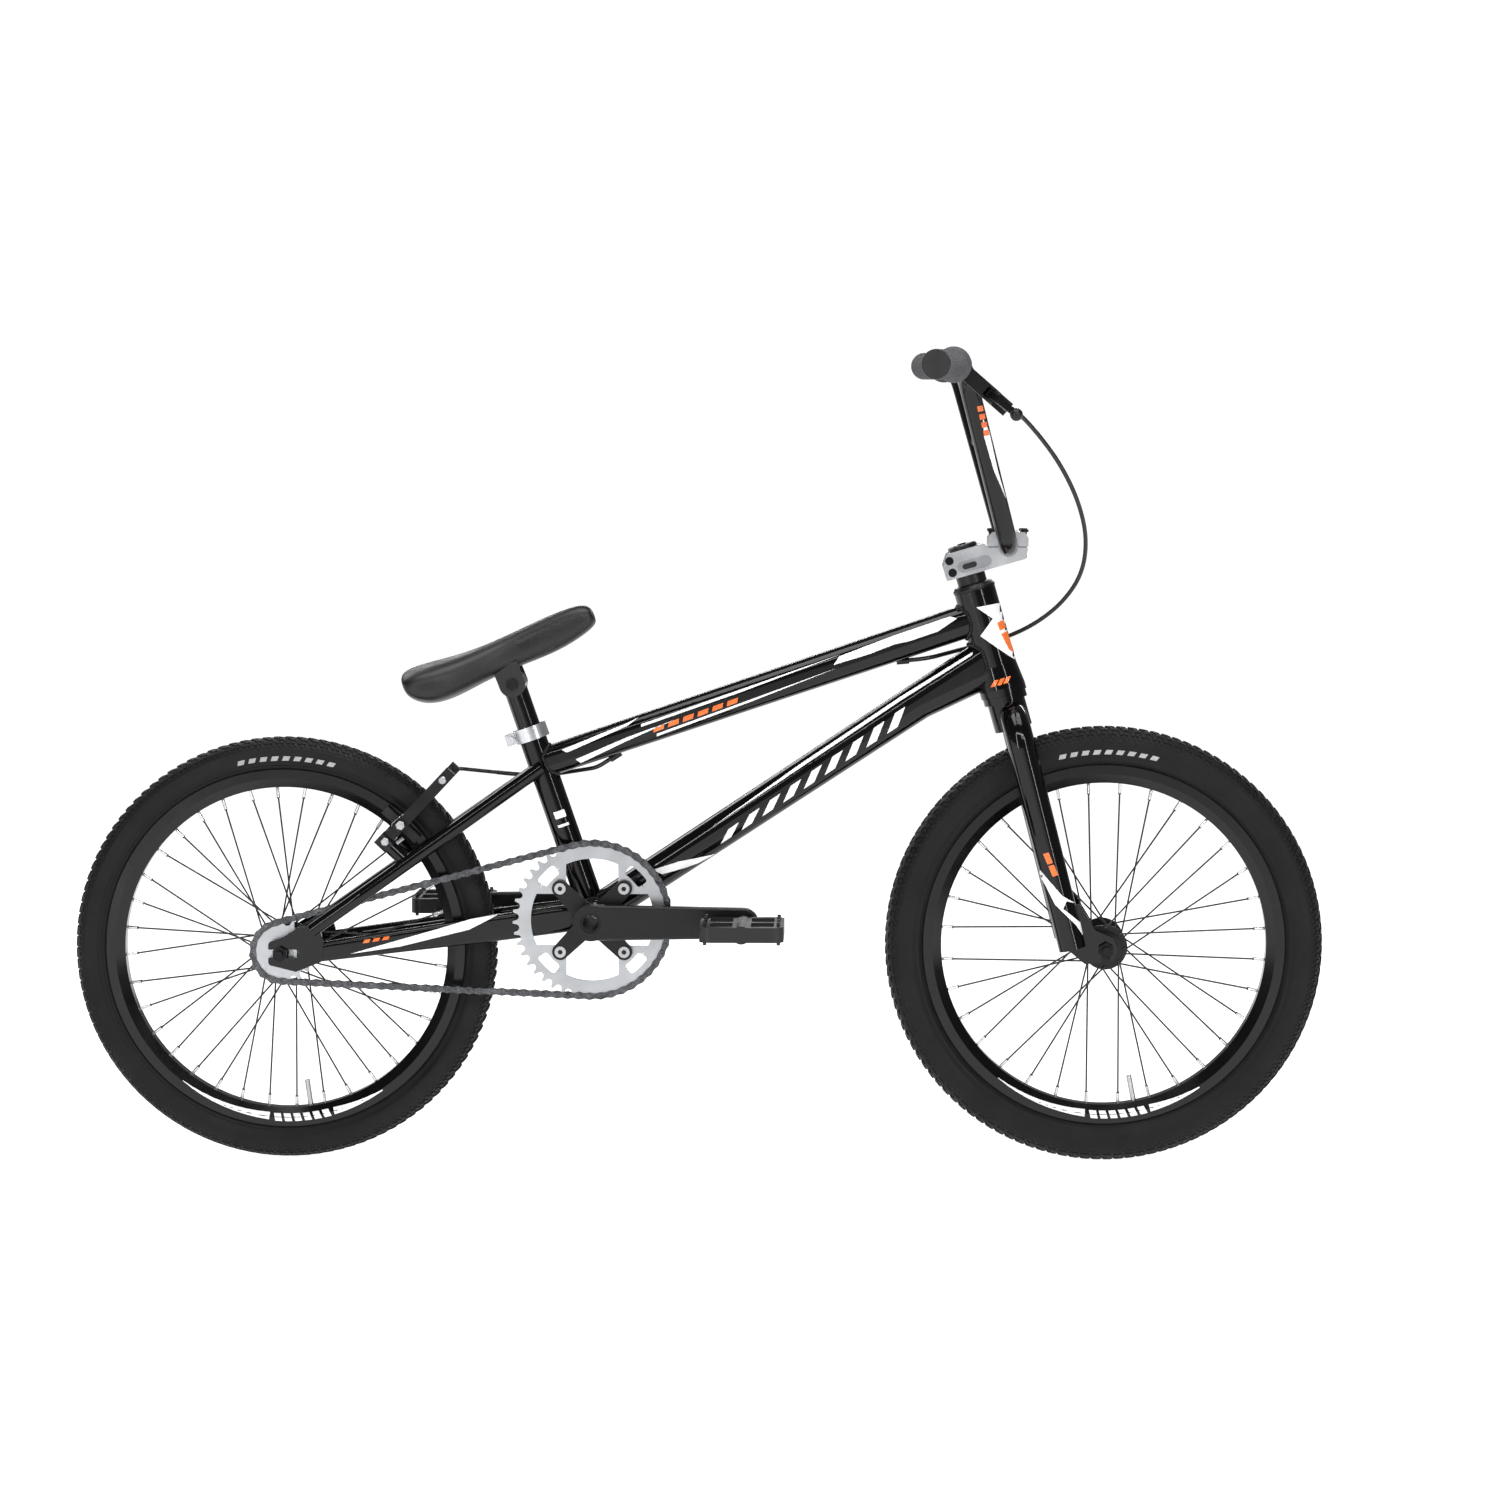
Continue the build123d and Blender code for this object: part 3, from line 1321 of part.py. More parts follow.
def chain_pins():
    """Pin places along the closed chain loop, as (x, z) from the bottom bracket towards the rear axle."""
    big = pitch_radius(chainring_teeth)
    small = pitch_radius(sprocket_teeth)
    centre_distance = (bottom_bracket - rear_axle).length
    lean = (big - small) / centre_distance
    big_half = pi / 2 + atan2(lean, sqrt(1 - lean**2))
    small_half = pi - big_half
    big_step = 2 * pi / chainring_teeth
    small_step = 2 * pi / sprocket_teeth
    big_seats = int(big_half / big_step)
    small_seats = int(small_half / small_step)
    straight = sqrt(centre_distance**2 - (big - small)**2)
    big_rest = big * (big_half - big_seats * big_step)
    span = big_rest + straight + small * (small_half - small_seats * small_step)
    links = round(span / chain_pitch)
    pins = []
    for index in range(-big_seats, big_seats + 1):
        pins.append((big * cos(index * big_step), big * sin(index * big_step)))

    def along(distance):
        if distance < big_rest:
            angle = big_seats * big_step + distance / big
            return big * cos(angle), big * sin(angle)
        if distance < big_rest + straight:
            share = (distance - big_rest) / straight
            start = (big * cos(big_half), big * sin(big_half))
            end = (-centre_distance + small * cos(big_half), small * sin(big_half))
            return start[0] + (end[0] - start[0]) * share, start[1] + (end[1] - start[1]) * share
        angle = big_half + (distance - big_rest - straight) / small
        return -centre_distance + small * cos(angle), small * sin(angle)

    upper = [along(span * (index + 1) / links) for index in range(links - 1)]
    pins += upper
    for index in range(-small_seats, small_seats + 1):
        angle = pi - index * -small_step
        pins.append((-centre_distance + small * cos(angle), small * sin(angle)))
    pins += [(x, -z) for x, z in reversed(upper)]
    return pins


def make_chain():
    """Closed chain: two bands of side plates joined by their rollers and pins."""
    big = pitch_radius(chainring_teeth)
    small = pitch_radius(sprocket_teeth)
    distance = (bottom_bracket - rear_axle).length
    half = chain_plate_half_height
    outer = make_hull([Circle(big + half).edge(), (Pos(-distance, 0, 0) * Circle(small + half)).edge()])
    inner = make_hull([Circle(big - half).edge(), (Pos(-distance, 0, 0) * Circle(small - half)).edge()])
    band = outer - inner
    turn = Rot(0, 0, degrees(chain_centre_angle))
    inner_half = chain_inner_width / 2
    plate = chain_plate_thickness
    pin_half = inner_half + plate + chain_pin_proud
    pieces = []
    for low in (-chain_line - inner_half - plate, -chain_line + inner_half):
        plane = drive_plane(bottom_bracket, low + plate)
        pieces.append(extrude(plane * (turn * band), plate))
    for x, z in chain_pins():
        place = turn * Pos(x, z, 0)
        roller_plane = drive_plane(bottom_bracket, -chain_line + inner_half)
        pin_plane = drive_plane(bottom_bracket, -chain_line + pin_half)
        pieces.append(extrude(roller_plane * (place * Circle(roller_radius)), chain_inner_width))
        pieces.append(extrude(pin_plane * (place * Circle(chain_pin_radius)), 2 * pin_half))
    return pieces[0].fuse(*pieces[1:])


# ---------------------------------------------------------------- pedals
def pedal_centre(side):
    """Point on a pedal's axle at the crank's outer face."""
    return bottom_bracket + Vector(-side * crank_length, side * (crank_inner_face + crank_thickness), 0)


def make_pedal_axles():
    """Pedal axle screwed into each crank arm."""
    axles = []
    for side in sides.values():
        start = pedal_centre(side)
        thread = rod(start - left * (side * crank_thickness), start, pedal_thread_radius)
        collar = rod(start, start + left * (side * pedal_collar_length), pedal_collar_radius)
        length = pedal_collar_length + pedal_gap + pedal_width - pedal_end_wall - pedal_gap
        shaft = rod(start, start + left * (side * length), pedal_axle_radius)
        axles.append(thread + collar + shaft)
    return group(*axles)


def make_pedal(side):
    """Platform pedal: a frame with two windows, a centre tube and traction pins."""
    start = pedal_centre(side) + left * (side * (pedal_collar_length + pedal_gap))
    middle = start + left * (side * pedal_width / 2)
    centre = Pos(middle.X, middle.Y, middle.Z)
    outline = RectangleRounded(pedal_depth, pedal_width, pedal_corner)
    body = extrude(outline, pedal_height / 2, both=True)
    window_depth = (pedal_depth - 2 * pedal_rail - 2 * pedal_hub_radius) / 2
    window_width = (pedal_width - 2 * pedal_rail - pedal_rib) / 2
    shift = (pedal_hub_radius + window_depth / 2, (window_width + pedal_rib) / 2)
    for x in (-shift[0], shift[0]):
        for y in (-shift[1], shift[1]):
            window = RectangleRounded(window_depth, window_width, pedal_window_corner)
            body -= Pos(x, y, 0) * extrude(window, pedal_height, both=True)
    body = centre * body
    body += rod(start, start + left * (side * pedal_width), pedal_hub_radius)
    pin_x = pedal_depth / 2 - pedal_pin_inset
    pin_y = pedal_width / 2 - pedal_pin_inset
    for x in (-pin_x, pin_x):
        for share in pedal_pin_shares:
            place = middle + Vector(x, share * pin_y, 0)
            half = pedal_height / 2 + pedal_pin_height
            body += rod(place - Vector(0, 0, half), place + Vector(0, 0, half), pedal_pin_radius)
    bore = rod(start, start + left * (side * (pedal_width - pedal_end_wall)), pedal_axle_radius + running_gap)
    return body - bore


# ---------------------------------------------------------------- seat
post_head = bottom_bracket + seat_up * post_head_distance
saddle_angle = radians(saddle_tilt)
saddle_forward = Vector(cos(saddle_angle), 0, sin(saddle_angle))
saddle_up = Vector(-sin(saddle_angle), 0, cos(saddle_angle))


def make_seat_clamp():
    """Seat clamp with its ears and bolt."""
    low = seat_tube_top - seat_up * seat_clamp_height
    outer = seat_tube_radius + seat_clamp_wall
    ring = rod(low, seat_tube_top, outer)
    middle = seat_tube_length - seat_clamp_height / 2
    ear_centre = -(outer + clamp_ear[0] / 4)
    ear_place = seat_plane.location * Pos(ear_centre, 0, middle)
    ears = ear_place * Box(clamp_ear[0], clamp_ear[1], seat_clamp_height * clamp_ear_height_share)
    slit = ear_place * Box(2 * clamp_ear[0], seat_clamp_slit, 2 * seat_clamp_height)
    bolt_line = seat_plane.location * Pos(ear_centre - clamp_bolt_offset, 0, middle)
    centre = bolt_line.position
    half = clamp_ear[1] / 2
    shank = across(centre, clamp_bolt_radius, -half, half)
    head = across(centre, clamp_bolt_head_radius, -half - clamp_bolt_head_height, -half)
    body = ring + ears - slit - rod(low, seat_tube_top, seat_tube_radius) - shank
    return group(body, shank + head)


def make_seat_post():
    """Seat post with a cross head that the saddle tilts on."""
    low = bottom_bracket + seat_up * (seat_tube_length - post_insert)
    tube = rod(low, post_head, post_radius)
    bore = rod(low, post_head - seat_up * post_head_radius, post_radius - post_wall)
    half = post_head_width / 2
    head = across(post_head, post_head_radius, -half, half)
    pin = across(post_head, saddle_pin_radius + running_gap, -half, half)
    return tube - bore + head - pin


def saddle_section(forward, width, low, high):
    """One cross section of the saddle, ahead of the post's head and above it."""
    place = post_head + saddle_forward * forward + saddle_up * ((low + high) / 2)
    plane = Plane(origin=place, x_dir=left, z_dir=saddle_forward * -1)
    corner = min(width, high - low) * saddle_corner_share
    return plane * RectangleRounded(width, high - low, corner)


def make_saddle_cover():
    """Closed solid of the padded saddle top."""
    sections = [saddle_section(*station) for station in saddle_stations]
    return loft(sections, ruled=True) - make_saddle_base()


def saddle_box(forward, width, up, side_centre=0.0):
    """Box between pairs of distances ahead of and above the post's head."""
    plane = Plane(origin=post_head, x_dir=saddle_forward, z_dir=saddle_up)
    size = (forward[1] - forward[0], width, up[1] - up[0])
    return plane.location * Pos(sum(forward) / 2, side_centre, sum(up) / 2) * Box(*size)


def make_saddle_base():
    """Hard base under the saddle, with two cheeks on the post's head."""
    inner = post_head_width / 2 + cheek_gap
    outer = inner + cheek_thickness
    reach = (-post_head_radius, post_head_radius)
    base_underside = saddle_base_top - saddle_base_thickness
    base = saddle_box(saddle_base_reach, post_head_width, (base_underside, saddle_base_top))
    base += saddle_box(reach, 2 * outer, (post_head_radius + cheek_gap, saddle_base_top))
    for side in sides.values():
        base += across(post_head, post_head_radius, *sorted((side * inner, side * outer)))
        base += saddle_box(reach, cheek_thickness, (0, saddle_base_top), side * (inner + cheek_thickness / 2))
    return base - across(post_head, saddle_pin_radius, -outer, outer)


def make_saddle_pin():
    """Bolt through the cheeks and the post's head."""
    half = post_head_width / 2 + cheek_gap + cheek_thickness
    shank = across(post_head, saddle_pin_radius, -half, half)
    heads = []
    for side in sides.values():
        head_start = post_head + left * (side * half)
        heads.append(hexagon(head_start, left * side, saddle_pin_head_radius, saddle_pin_head_height))
    return shank + heads[0] + heads[1]


# ---------------------------------------------------------------- all the pieces
def build_pieces():
    """Every node's name and shape."""
    pieces = {
        "frame_head_tube": make_head_tube(),
        "frame_top_tube": make_top_tube(),
        "frame_down_tube": make_down_tube(),
        "frame_seat_tube": make_seat_tube(),
        "frame_bb_shell": make_bb_shell(),
        "frame_dropouts": group(*[rear_dropout_plate(side) for side in sides.values()]),
        "brake_posts": make_brake_posts(),
        "seat_clamp": make_seat_clamp(),
        "headset_bearings": make_headset_bearings(),
        "bottom_bracket_cups": make_bb_cups(),
        "rear_axle": make_axle(rear_axle, rear_dropout_spacing, dropout_thickness),
        "rear_axle_nuts": make_axle_nuts(rear_axle, rear_dropout_spacing, dropout_thickness),
        "chain": make_chain(),
        "rear_brake_cable": make_rear_cable(),
        "seat_post": make_seat_post(),
        "saddle_base": make_saddle_base(),
        "saddle_cover": make_saddle_cover(),
        "saddle_bolt": make_saddle_pin(),
        "fork_steerer": make_steerer(),
        "fork_legs": group(*[make_fork_leg(side) for side in sides.values()]),
        "fork_dropouts": group(*[fork_dropout_plate(side) for side in sides.values()]),
        "headset_spacers": make_headset_stack(),
        "stem_body": make_stem_body(),
        "stem_clamp_cap": make_stem_cap(),
        "stem_bolts": make_stem_bolts(),
        "steerer_top_cap": make_top_cap(),
        "handlebar": make_handlebar(),
        "bar_end_plugs": make_plugs(),
        "brake_lever_perch": make_perch(),
        "barrel_adjuster": make_barrel(),
        "brake_cable": make_brake_cable(),
        "brake_lever": make_lever(),
        "front_axle": make_axle(front_axle, front_dropout_spacing, dropout_thickness),
        "front_axle_nuts": make_axle_nuts(front_axle, front_dropout_spacing, dropout_thickness),
        "front_hub": make_hub(front_axle, front_dropout_spacing, front_flange_spacing,
                              front_dropout_spacing / 2 - axle_collar_length - hub_side_gap),
        "front_spokes": make_spokes(front_axle, front_spoke_count, front_flange_spacing, front_spoke_phase),
        "front_rim": make_rim(front_axle),
        "front_tyre": make_tyre(front_axle, front_tyre_radius, front_tyre_width),
        "front_valve": make_valve(front_axle, front_spoke_count, front_spoke_phase),
        "rear_hub": make_hub(rear_axle, rear_dropout_spacing, rear_flange_spacing, rear_hub_right_end),
        "rear_spokes": make_spokes(rear_axle, rear_spoke_count, rear_flange_spacing, rear_spoke_phase),
        "rear_rim": make_rim(rear_axle),
        "rear_tyre": make_tyre(rear_axle, rear_tyre_radius, rear_tyre_width),
        "rear_valve": make_valve(rear_axle, rear_spoke_count, rear_spoke_phase),
        "rear_sprocket": make_rear_sprocket(),
        "crank_arm_right": make_right_crank(),
        "crank_arm_left": make_left_crank(),
        "crank_spindle": make_spindle(),
        "chainring": make_chainring(),
        "chainring_bolts": make_chainring_bolts(),
        "pedal_axles": make_pedal_axles(),
    }
    for name, side in sides.items():
        pieces["brake_arm_" + name] = make_brake_arm(side)
        pieces["brake_pad_" + name] = make_brake_pad(side)
        pieces["pedal_" + name] = make_pedal(side)
    pieces["frame_chain_stays"] = group(*[make_chain_stay(side) for side in sides.values()])
    pieces["frame_seat_stays"] = group(*[make_seat_stay(side) for side in sides.values()])
    pieces["grips"] = group(*[make_grip(side) for side in sides.values()])
    return pieces


os.makedirs("parts", exist_ok=True)
for node, shape in build_pieces().items():
    export_step(shape, "parts/" + node + ".step")
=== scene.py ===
"""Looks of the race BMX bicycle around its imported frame, in metres: +X forward, +Y left, +Z up."""
from __future__ import annotations

import logging
from collections.abc import Iterable, Sequence
from dataclasses import dataclass, field
from enum import Enum
from math import asin, atan2, cos, pi, radians, sin, sqrt

import bmesh
import bpy
from mathutils import Euler, Matrix, Vector
from mathutils.bvhtree import BVHTree


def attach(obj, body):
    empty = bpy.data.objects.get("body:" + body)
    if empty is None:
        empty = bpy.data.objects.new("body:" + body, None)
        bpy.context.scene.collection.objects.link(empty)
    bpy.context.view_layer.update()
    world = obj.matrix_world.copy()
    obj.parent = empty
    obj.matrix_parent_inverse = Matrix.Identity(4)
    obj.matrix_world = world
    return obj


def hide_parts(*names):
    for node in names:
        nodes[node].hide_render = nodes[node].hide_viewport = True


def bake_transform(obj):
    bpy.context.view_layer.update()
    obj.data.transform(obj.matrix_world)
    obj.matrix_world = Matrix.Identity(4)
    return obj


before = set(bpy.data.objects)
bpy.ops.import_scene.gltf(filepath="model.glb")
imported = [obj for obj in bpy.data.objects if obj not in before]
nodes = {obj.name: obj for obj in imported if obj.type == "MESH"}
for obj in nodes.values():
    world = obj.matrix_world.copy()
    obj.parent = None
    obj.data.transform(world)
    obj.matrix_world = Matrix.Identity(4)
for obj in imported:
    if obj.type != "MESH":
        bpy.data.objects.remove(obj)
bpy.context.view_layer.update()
log = logging.getLogger("bmx")

MM = 0.001
SIDES = {"right": -1, "left": 1}

# Places on the bicycle, in millimetres
REAR_AXLE = Vector((-478.5, 0, 246.5))
FRONT_AXLE = Vector((471.5, 0, 253.5))
BOTTOM_BRACKET = Vector((-119.537, 0, 284.8))
POST_HEAD = Vector((-212.65, 0, 555.22))
BAR_CENTRE = Vector((358.405, 0, 713.939))
BRAKE_PIVOT = Vector((-358.93, 0, 374.28))
BRAKE_OUT = Vector((0.68328, 0, 0.73016))
RIM_RADIUS = 209.0
Point = Sequence[float]


def linear(hex_colour: str) -> tuple[float, float, float, float]:
    """Turns an sRGB hex colour into linear values.

    Args:
        hex_colour: Six hex digits.
    Returns:
        Linear red, green, blue and an alpha of one.
    """
    toe, slope, offset, power = 0.04045, 12.92, 0.055, 2.4
    values = [value / 255 for value in bytes.fromhex(hex_colour)]
    red, green, blue = (value / slope if value <= toe else ((value + offset) / (1 + offset)) ** power
                        for value in values)
    return red, green, blue, 1.0


def add_node(tree: bpy.types.NodeTree, kind: str, values: dict | None = None,
             **settings: object) -> bpy.types.Node:
    """Adds a node with its settings, input values and links.

    Args:
        tree: The tree that gets the node.
        kind: The node's type name.
        values: Input socket to a constant, or to the output socket it is linked from.
        **settings: Properties of the node.
    Returns:
        The new node.
    """
    node = tree.nodes.new(kind)
    for name, value in settings.items():
        setattr(node, name, value)
    for socket, value in (values or {}).items():
        if isinstance(value, bpy.types.NodeSocket):
            tree.links.new(value, node.inputs[socket])
        else:
            node.inputs[socket].default_value = value
    return node


# ---------------------------------------------------------------- finishes
class Grain(Enum):
    """How a surface was made, which sets its fine relief."""

    SMOOTH = "sprayed or drawn"
    BLASTED = "bead blasted or cast"
    BRUSHED = "brushed or turned"
    PEBBLED = "embossed"


@dataclass(frozen=True)
class Finish:
    """One real finish: two shades, how rough it is and its relief in millimetres."""

    name: str
    shade: str
    second: str
    rough: float
    rough_second: float
    metallic: float = 0.0
    grain: Grain = Grain.SMOOTH
    grain_mm: float = 1.0
    relief_mm: float = 0.02
    patch_mm: float = 40.0
    coat: float = 0.0
    specular: float = 0.5
    sheen: float = 0.0
    glow: float = 0.0
    accent: str = ""
    accent_centre: tuple[float, float] = (0.0, 0.0)
    accent_radius_mm: float = 0.0

    def material(self) -> bpy.types.Material:
        """Builds, or finds, the finish's material.

        Returns:
            The material, shared by every piece with this finish.
        """
        found = bpy.data.materials.get(self.name)
        if found:
            return found
        material = bpy.data.materials.new(self.name)
        material.use_nodes = True
        tree = material.node_tree
        tree.nodes.clear()
        place = add_node(tree, "ShaderNodeTexCoord").outputs["Object"]
        stretch = (1.0, 1.0, 12.0) if self.grain is Grain.BRUSHED else (1.0, 1.0, 1.0)
        mapped = add_node(tree, "ShaderNodeMapping", {"Vector": place, "Scale": stretch}).outputs[0]
        fine = self.fine_pattern(tree, mapped)
        patches = add_node(tree, "ShaderNodeTexNoise", {
            "Vector": place, "Scale": 1 / (self.patch_mm * MM), "Detail": 3.0}).outputs["Fac"]
        blend = add_node(tree, "ShaderNodeMath", {0: fine, 1: patches}, operation="MULTIPLY").outputs[0]
        blend = add_node(tree, "ShaderNodeMapRange", {
            "Value": blend, "From Min": 0.1, "From Max": 0.5}).outputs[0]
        colour = add_node(tree, "ShaderNodeMix", {
            "Factor": blend, 6: linear(self.shade), 7: linear(self.second)}, data_type="RGBA").outputs[2]
        metallic: object = self.metallic
        if self.accent:
            colour, metallic = self.accent_zone(tree, place, colour)
        rough = add_node(tree, "ShaderNodeMapRange", {
            "Value": patches, "From Min": 0.3, "From Max": 0.7, "To Min": self.rough,
            "To Max": self.rough_second}).outputs[0]
        bump = add_node(tree, "ShaderNodeBump", {
            "Height": fine, "Distance": self.relief_mm * MM, "Strength": 1.0}).outputs[0]
        shader = add_node(tree, "ShaderNodeBsdfPrincipled", {
            "Base Color": colour, "Roughness": rough, "Normal": bump, "Metallic": metallic,
            "Coat Weight": self.coat, "Coat Roughness": 0.03, "Specular IOR Level": self.specular,
            "Sheen Weight": self.sheen, "Emission Color": linear("ffffff"), "Emission Strength": self.glow})
        add_node(tree, "ShaderNodeOutputMaterial", {"Surface": shader.outputs[0]})
        return material

    def fine_pattern(self, tree: bpy.types.NodeTree, place: bpy.types.NodeSocket) -> bpy.types.NodeSocket:
        """Adds the grain's own texture at its real size.

        Args:
            tree: The material's tree.
            place: Coordinates in metres.
        Returns:
            The texture's height.
        """
        scale = 1 / (self.grain_mm * MM)
        if self.grain is Grain.PEBBLED:
            cells = add_node(tree, "ShaderNodeTexVoronoi", {"Vector": place, "Scale": scale},
                             feature="SMOOTH_F1")
            return cells.outputs["Distance"]
        detail = 4.0 if self.grain is Grain.BLASTED else 2.0
        return add_node(tree, "ShaderNodeTexNoise", {
            "Vector": place, "Scale": scale, "Detail": detail}).outputs["Fac"]

    def accent_zone(self, tree: bpy.types.NodeTree, place: bpy.types.NodeSocket,
                    colour: bpy.types.NodeSocket) -> tuple[bpy.types.NodeSocket, bpy.types.NodeSocket]:
        """Gives everything past a radius about a wheel's axle the accent metal, as nipples on spokes.

        Args:
            tree: The material's tree.
            place: Coordinates in metres.
            colour: The finish's own colour.
        Returns:
            The mixed colour and the metallic value.
        """
        centre = (self.accent_centre[0] * MM, 0.0, self.accent_centre[1] * MM)
        away = add_node(tree, "ShaderNodeVectorMath", {0: place, 1: centre}, operation="SUBTRACT").outputs[0]
        flat = add_node(tree, "ShaderNodeVectorMath", {0: away, 1: (1.0, 0.0, 1.0)},
                        operation="MULTIPLY").outputs[0]
        radius = add_node(tree, "ShaderNodeVectorMath", {0: flat}, operation="LENGTH").outputs["Value"]
        zone = add_node(tree, "ShaderNodeMath", {
            0: radius, 1: self.accent_radius_mm * MM}, operation="GREATER_THAN").outputs[0]
        mixed = add_node(tree, "ShaderNodeMix", {
            "Factor": zone, 6: colour, 7: linear(self.accent)}, data_type="RGBA").outputs[2]
        return mixed, zone


# Sprayed gloss enamel: a deep black that shows sharp reflections with a faint orange peel
ENAMEL = Finish("gloss_black_enamel", "020203", "060607", 0.06, 0.14, grain_mm=1.6, relief_mm=0.01,
                specular=0.36)
# Gloss black powder coat on the handlebar and rims: a little softer than the enamel
POWDER = Finish("gloss_black_powder_coat", "030304", "08080a", 0.12, 0.22, grain_mm=1.2, relief_mm=0.015,
                specular=0.36)
# Black anodised aluminium: satin, with a fine blasted grain
ANODISED = Finish("black_anodised_aluminium", "08080a", "101013", 0.3, 0.44, 0.3, Grain.BLASTED, 0.5, 0.012)
# Polished aluminium: bright, with faint drawn lines
POLISHED = Finish("polished_aluminium", "c6c8cb", "dfe1e4", 0.22, 0.36, 0.9, Grain.BRUSHED, 1.5, 0.004)
# Satin scoop milled in the stem's flank, laid as a flat sheet: its silver is darker than the polished body,
# partly for its satin finish and partly as painted shade of the recess
SCOOP_SHADE = Finish("milled_scoop_and_painted_shade", "8f9194", "b4b6b9", 0.34, 0.46, 0.9, Grain.BRUSHED, 1.5, 0.006)
# Machined alloy of the chainring: pale, with turning marks and a soft shine
MACHINED = Finish("machined_alloy", "a9abae", "c9cbce", 0.28, 0.42, 1.0, Grain.BRUSHED, 0.8, 0.008)
# Bright zinc plate on bolts and axles
ZINC = Finish("bright_zinc_plate", "a4a5a8", "cfd0d3", 0.2, 0.36, 1.0, Grain.BLASTED, 1.0, 0.01)
# Black oxide on nuts and small screws: dark steel with lighter worn patches at random
OXIDE = Finish("black_oxide_steel", "141416", "26262a", 0.3, 0.45, 0.7, Grain.BLASTED, 0.7, 0.015)
# Oiled chain steel: dark grey with brighter rubbed plates
CHAIN_STEEL = Finish("oiled_chain_steel", "333436", "7a7b7e", 0.26, 0.4, 1.0, Grain.BLASTED, 1.5, 0.02,
                     patch_mm=9)
# Stainless spring wire: bright and smooth, with faint drawn lines
STAINLESS = Finish("stainless_wire", "b9bbbe", "dcdde0", 0.16, 0.28, 1.0, Grain.BRUSHED, 0.6, 0.004)
# Vulcanised rubber: matt charcoal, a little lighter in random patches
RUBBER = Finish("tyre_rubber", "060607", "121214", 0.5, 0.72, grain=Grain.BLASTED, grain_mm=0.9,
                relief_mm=0.05, sheen=0.05, specular=0.25)
# Soft grip rubber: dark grey and matt
GRIP_RUBBER = Finish("grip_rubber", "3a3a3d", "545458", 0.55, 0.72, grain=Grain.BLASTED, grain_mm=0.7,
                     relief_mm=0.04, sheen=0.15)
# Moulded nylon: near black with the mould's fine texture
NYLON = Finish("moulded_black_nylon", "0b0b0c", "151516", 0.36, 0.52, grain=Grain.BLASTED, grain_mm=0.8,
               relief_mm=0.03)
# Embossed vinyl cover: black with a leather-like pebble that breaks up its shine
VINYL = Finish("embossed_black_vinyl", "040405", "0b0b0c", 0.34, 0.5, grain=Grain.PEBBLED, grain_mm=1.6,
               relief_mm=0.12, patch_mm=60)
# Extruded cable housing: smooth black PVC
HOUSING = Finish("pvc_cable_housing", "0b0b0c", "161617", 0.3, 0.42, grain_mm=2.0, relief_mm=0.02)
# Brake pad rubber: harder and greyer than the tyres, with no shine
PAD_RUBBER = Finish("brake_pad_rubber", "131314", "222223", 0.6, 0.75, grain=Grain.BLASTED, relief_mm=0.05)
# Screen printed inks under clear lacquer, with a slight wear in their tone
# The white also paints a highlight: the thin line along the down tube's top edge stands in for a reflection
WHITE_INK_AND_HIGHLIGHT = Finish("white_print_and_painted_highlight", "f4f5f6", "ffffff", 0.22, 0.34, grain_mm=3.0, relief_mm=0.004, coat=0.3)
ORANGE_INK = Finish("orange_print", "e8641c", "ff8a3c", 0.24, 0.36, grain_mm=3.0, relief_mm=0.004, coat=0.3)
# Grey ink on the tyre walls: flat and slightly dusty
WALL_INK = Finish("grey_tyre_print", "9a9b9d", "b9babc", 0.4, 0.55, grain_mm=3.0, relief_mm=0.004)
# Painted shade: flat rough black sheets that stand for the deep shadow inside sockets, slots and recesses
SOCKET_SHADE = Finish("painted_socket_shade", "020202", "070707", 0.6, 0.8, grain=Grain.BLASTED, relief_mm=0.02)
# Black drawn spokes whose outer ends are plated nipples
FRONT_SPOKE = Finish("black_spoke_front", "0c0c0d", "18181a", 0.25, 0.38, 0.4, accent="d6d8db",
                     accent_centre=(FRONT_AXLE.x, FRONT_AXLE.z), accent_radius_mm=176.0)
REAR_SPOKE = Finish("black_spoke_rear", "0c0c0d", "18181a", 0.25, 0.38, 0.4, accent="d6d8db",
                    accent_centre=(REAR_AXLE.x, REAR_AXLE.z), accent_radius_mm=176.0)
# Painted studio floor: even and matt
FLOOR = Finish("studio_floor", "b4b4b4", "bebebe", 0.85, 0.9, grain=Grain.BLASTED, grain_mm=6, relief_mm=0.02,
               specular=0.0, glow=0.96)


